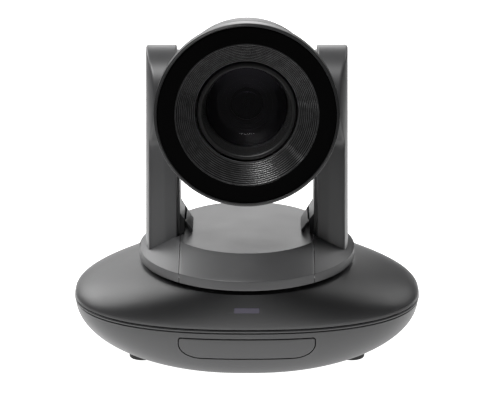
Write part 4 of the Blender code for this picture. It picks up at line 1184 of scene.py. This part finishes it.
# %% The white sweep
def make_sweep():
    """A floor that runs flat and then curves up behind: y and z follow a line and a quarter circle."""
    front, reach, radius, half_width = -0.2, 2.2, 1.2, 0.26
    t = np.linspace(0, math.pi / 2, 24)
    y = np.concatenate([[front, 0.0], reach + radius * np.sin(t), [reach + radius]])
    z = np.concatenate([[0.0, 0.0], radius - radius * np.cos(t), [radius + 2.0]])
    x = np.linspace(-half_width, half_width, 3)
    grid = np.stack(np.broadcast_arrays(x[None, :], y[:, None], z[:, None]), axis=-1)
    mesh = bpy.data.meshes.new("sweep")
    mesh.from_pydata(grid.reshape(-1, 3).tolist(), [], quads(len(y), len(x), wrap_columns=False))
    mesh.shade_smooth()
    made = bpy.data.objects.new("sweep", mesh)
    bpy.context.scene.collection.objects.link(made)
    paper = bpy.data.materials.new("white_paper")
    paper.use_nodes = True
    shader = paper.node_tree.nodes["Principled BSDF"]
    shader.inputs["Base Color"].default_value = (0.55, 0.55, 0.55, 1.0)
    shader.inputs["Emission Color"].default_value = (1.0, 1.0, 1.0, 1.0)
    shader.inputs["Emission Strength"].default_value = 1.2
    shader.inputs["Roughness"].default_value = 0.9
    shader.inputs["Specular IOR Level"].default_value = 0.1
    mesh.materials.append(paper)
    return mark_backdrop(made)


make_sweep()
print("sweep made")

# %% [markdown]
# A small soft box stands high at the front left. It draws the highlight on the arms' crowns and on the hood's ribs.
# On the top shell it would draw a hard streak too, so it is linked to the other pieces only. The world is white
# where the camera looks past everything, and nearly dark for every other ray, so that it adds no light of its own.

# %% Lights
LIGHT_AIM = (0.0, 0.0, 0.1)
WORLD_GLOW = 0.05


def soft_box(name, place, size, power):
    """A rectangular area light at place, turned towards the camera's middle; size is (width, height) in metres."""
    lamp = bpy.data.lights.new(name, "AREA")
    lamp.shape = "RECTANGLE"
    lamp.size, lamp.size_y = size
    lamp.energy = power
    made = bpy.data.objects.new(name, lamp)
    bpy.context.scene.collection.objects.link(made)
    made.location = place
    made.rotation_euler = (Vector(LIGHT_AIM) - Vector(place)).to_track_quat("-Z", "Y").to_euler()
    return made


soft_box("back_key", (-0.45, 1.5, 0.75), (2.0, 1.1), 13)
front_left = soft_box("front_left", (-0.42, -0.7, 1.4), (0.6, 0.45), 24)
soft_box("left_back", (-1.1, 0.7, 1.1), (1.3, 1.1), 20)
soft_box("right_back", (1.1, 0.8, 1.0), (1.1, 0.9), 7)
base_shells = (bowl, top_shell, front_cover, lamp_window)
upper_pieces = bpy.data.collections.new("upper_pieces")
for made in bpy.data.objects:
    if made.type == "MESH" and made not in base_shells:
        upper_pieces.objects.link(made)
front_left.light_linking.receiver_collection = upper_pieces


def make_world():
    """White where the camera looks past everything, and nearly dark for every other ray."""
    world = bpy.data.worlds.new("studio")
    bpy.context.scene.world = world
    world.use_nodes = True
    background = world.node_tree.nodes["Background"]
    seen = wired(world.node_tree, "ShaderNodeLightPath").outputs["Is Camera Ray"]
    level = wired(world.node_tree, "ShaderNodeMapRange", {}, {"Value": seen, "To Min": WORLD_GLOW, "To Max": 1.0})
    background.inputs["Color"].default_value = (1.0, 1.0, 1.0, 1.0)
    world.node_tree.links.new(level.outputs["Result"], background.inputs["Strength"])


make_world()
bpy.context.scene.view_settings.view_transform = "Standard"
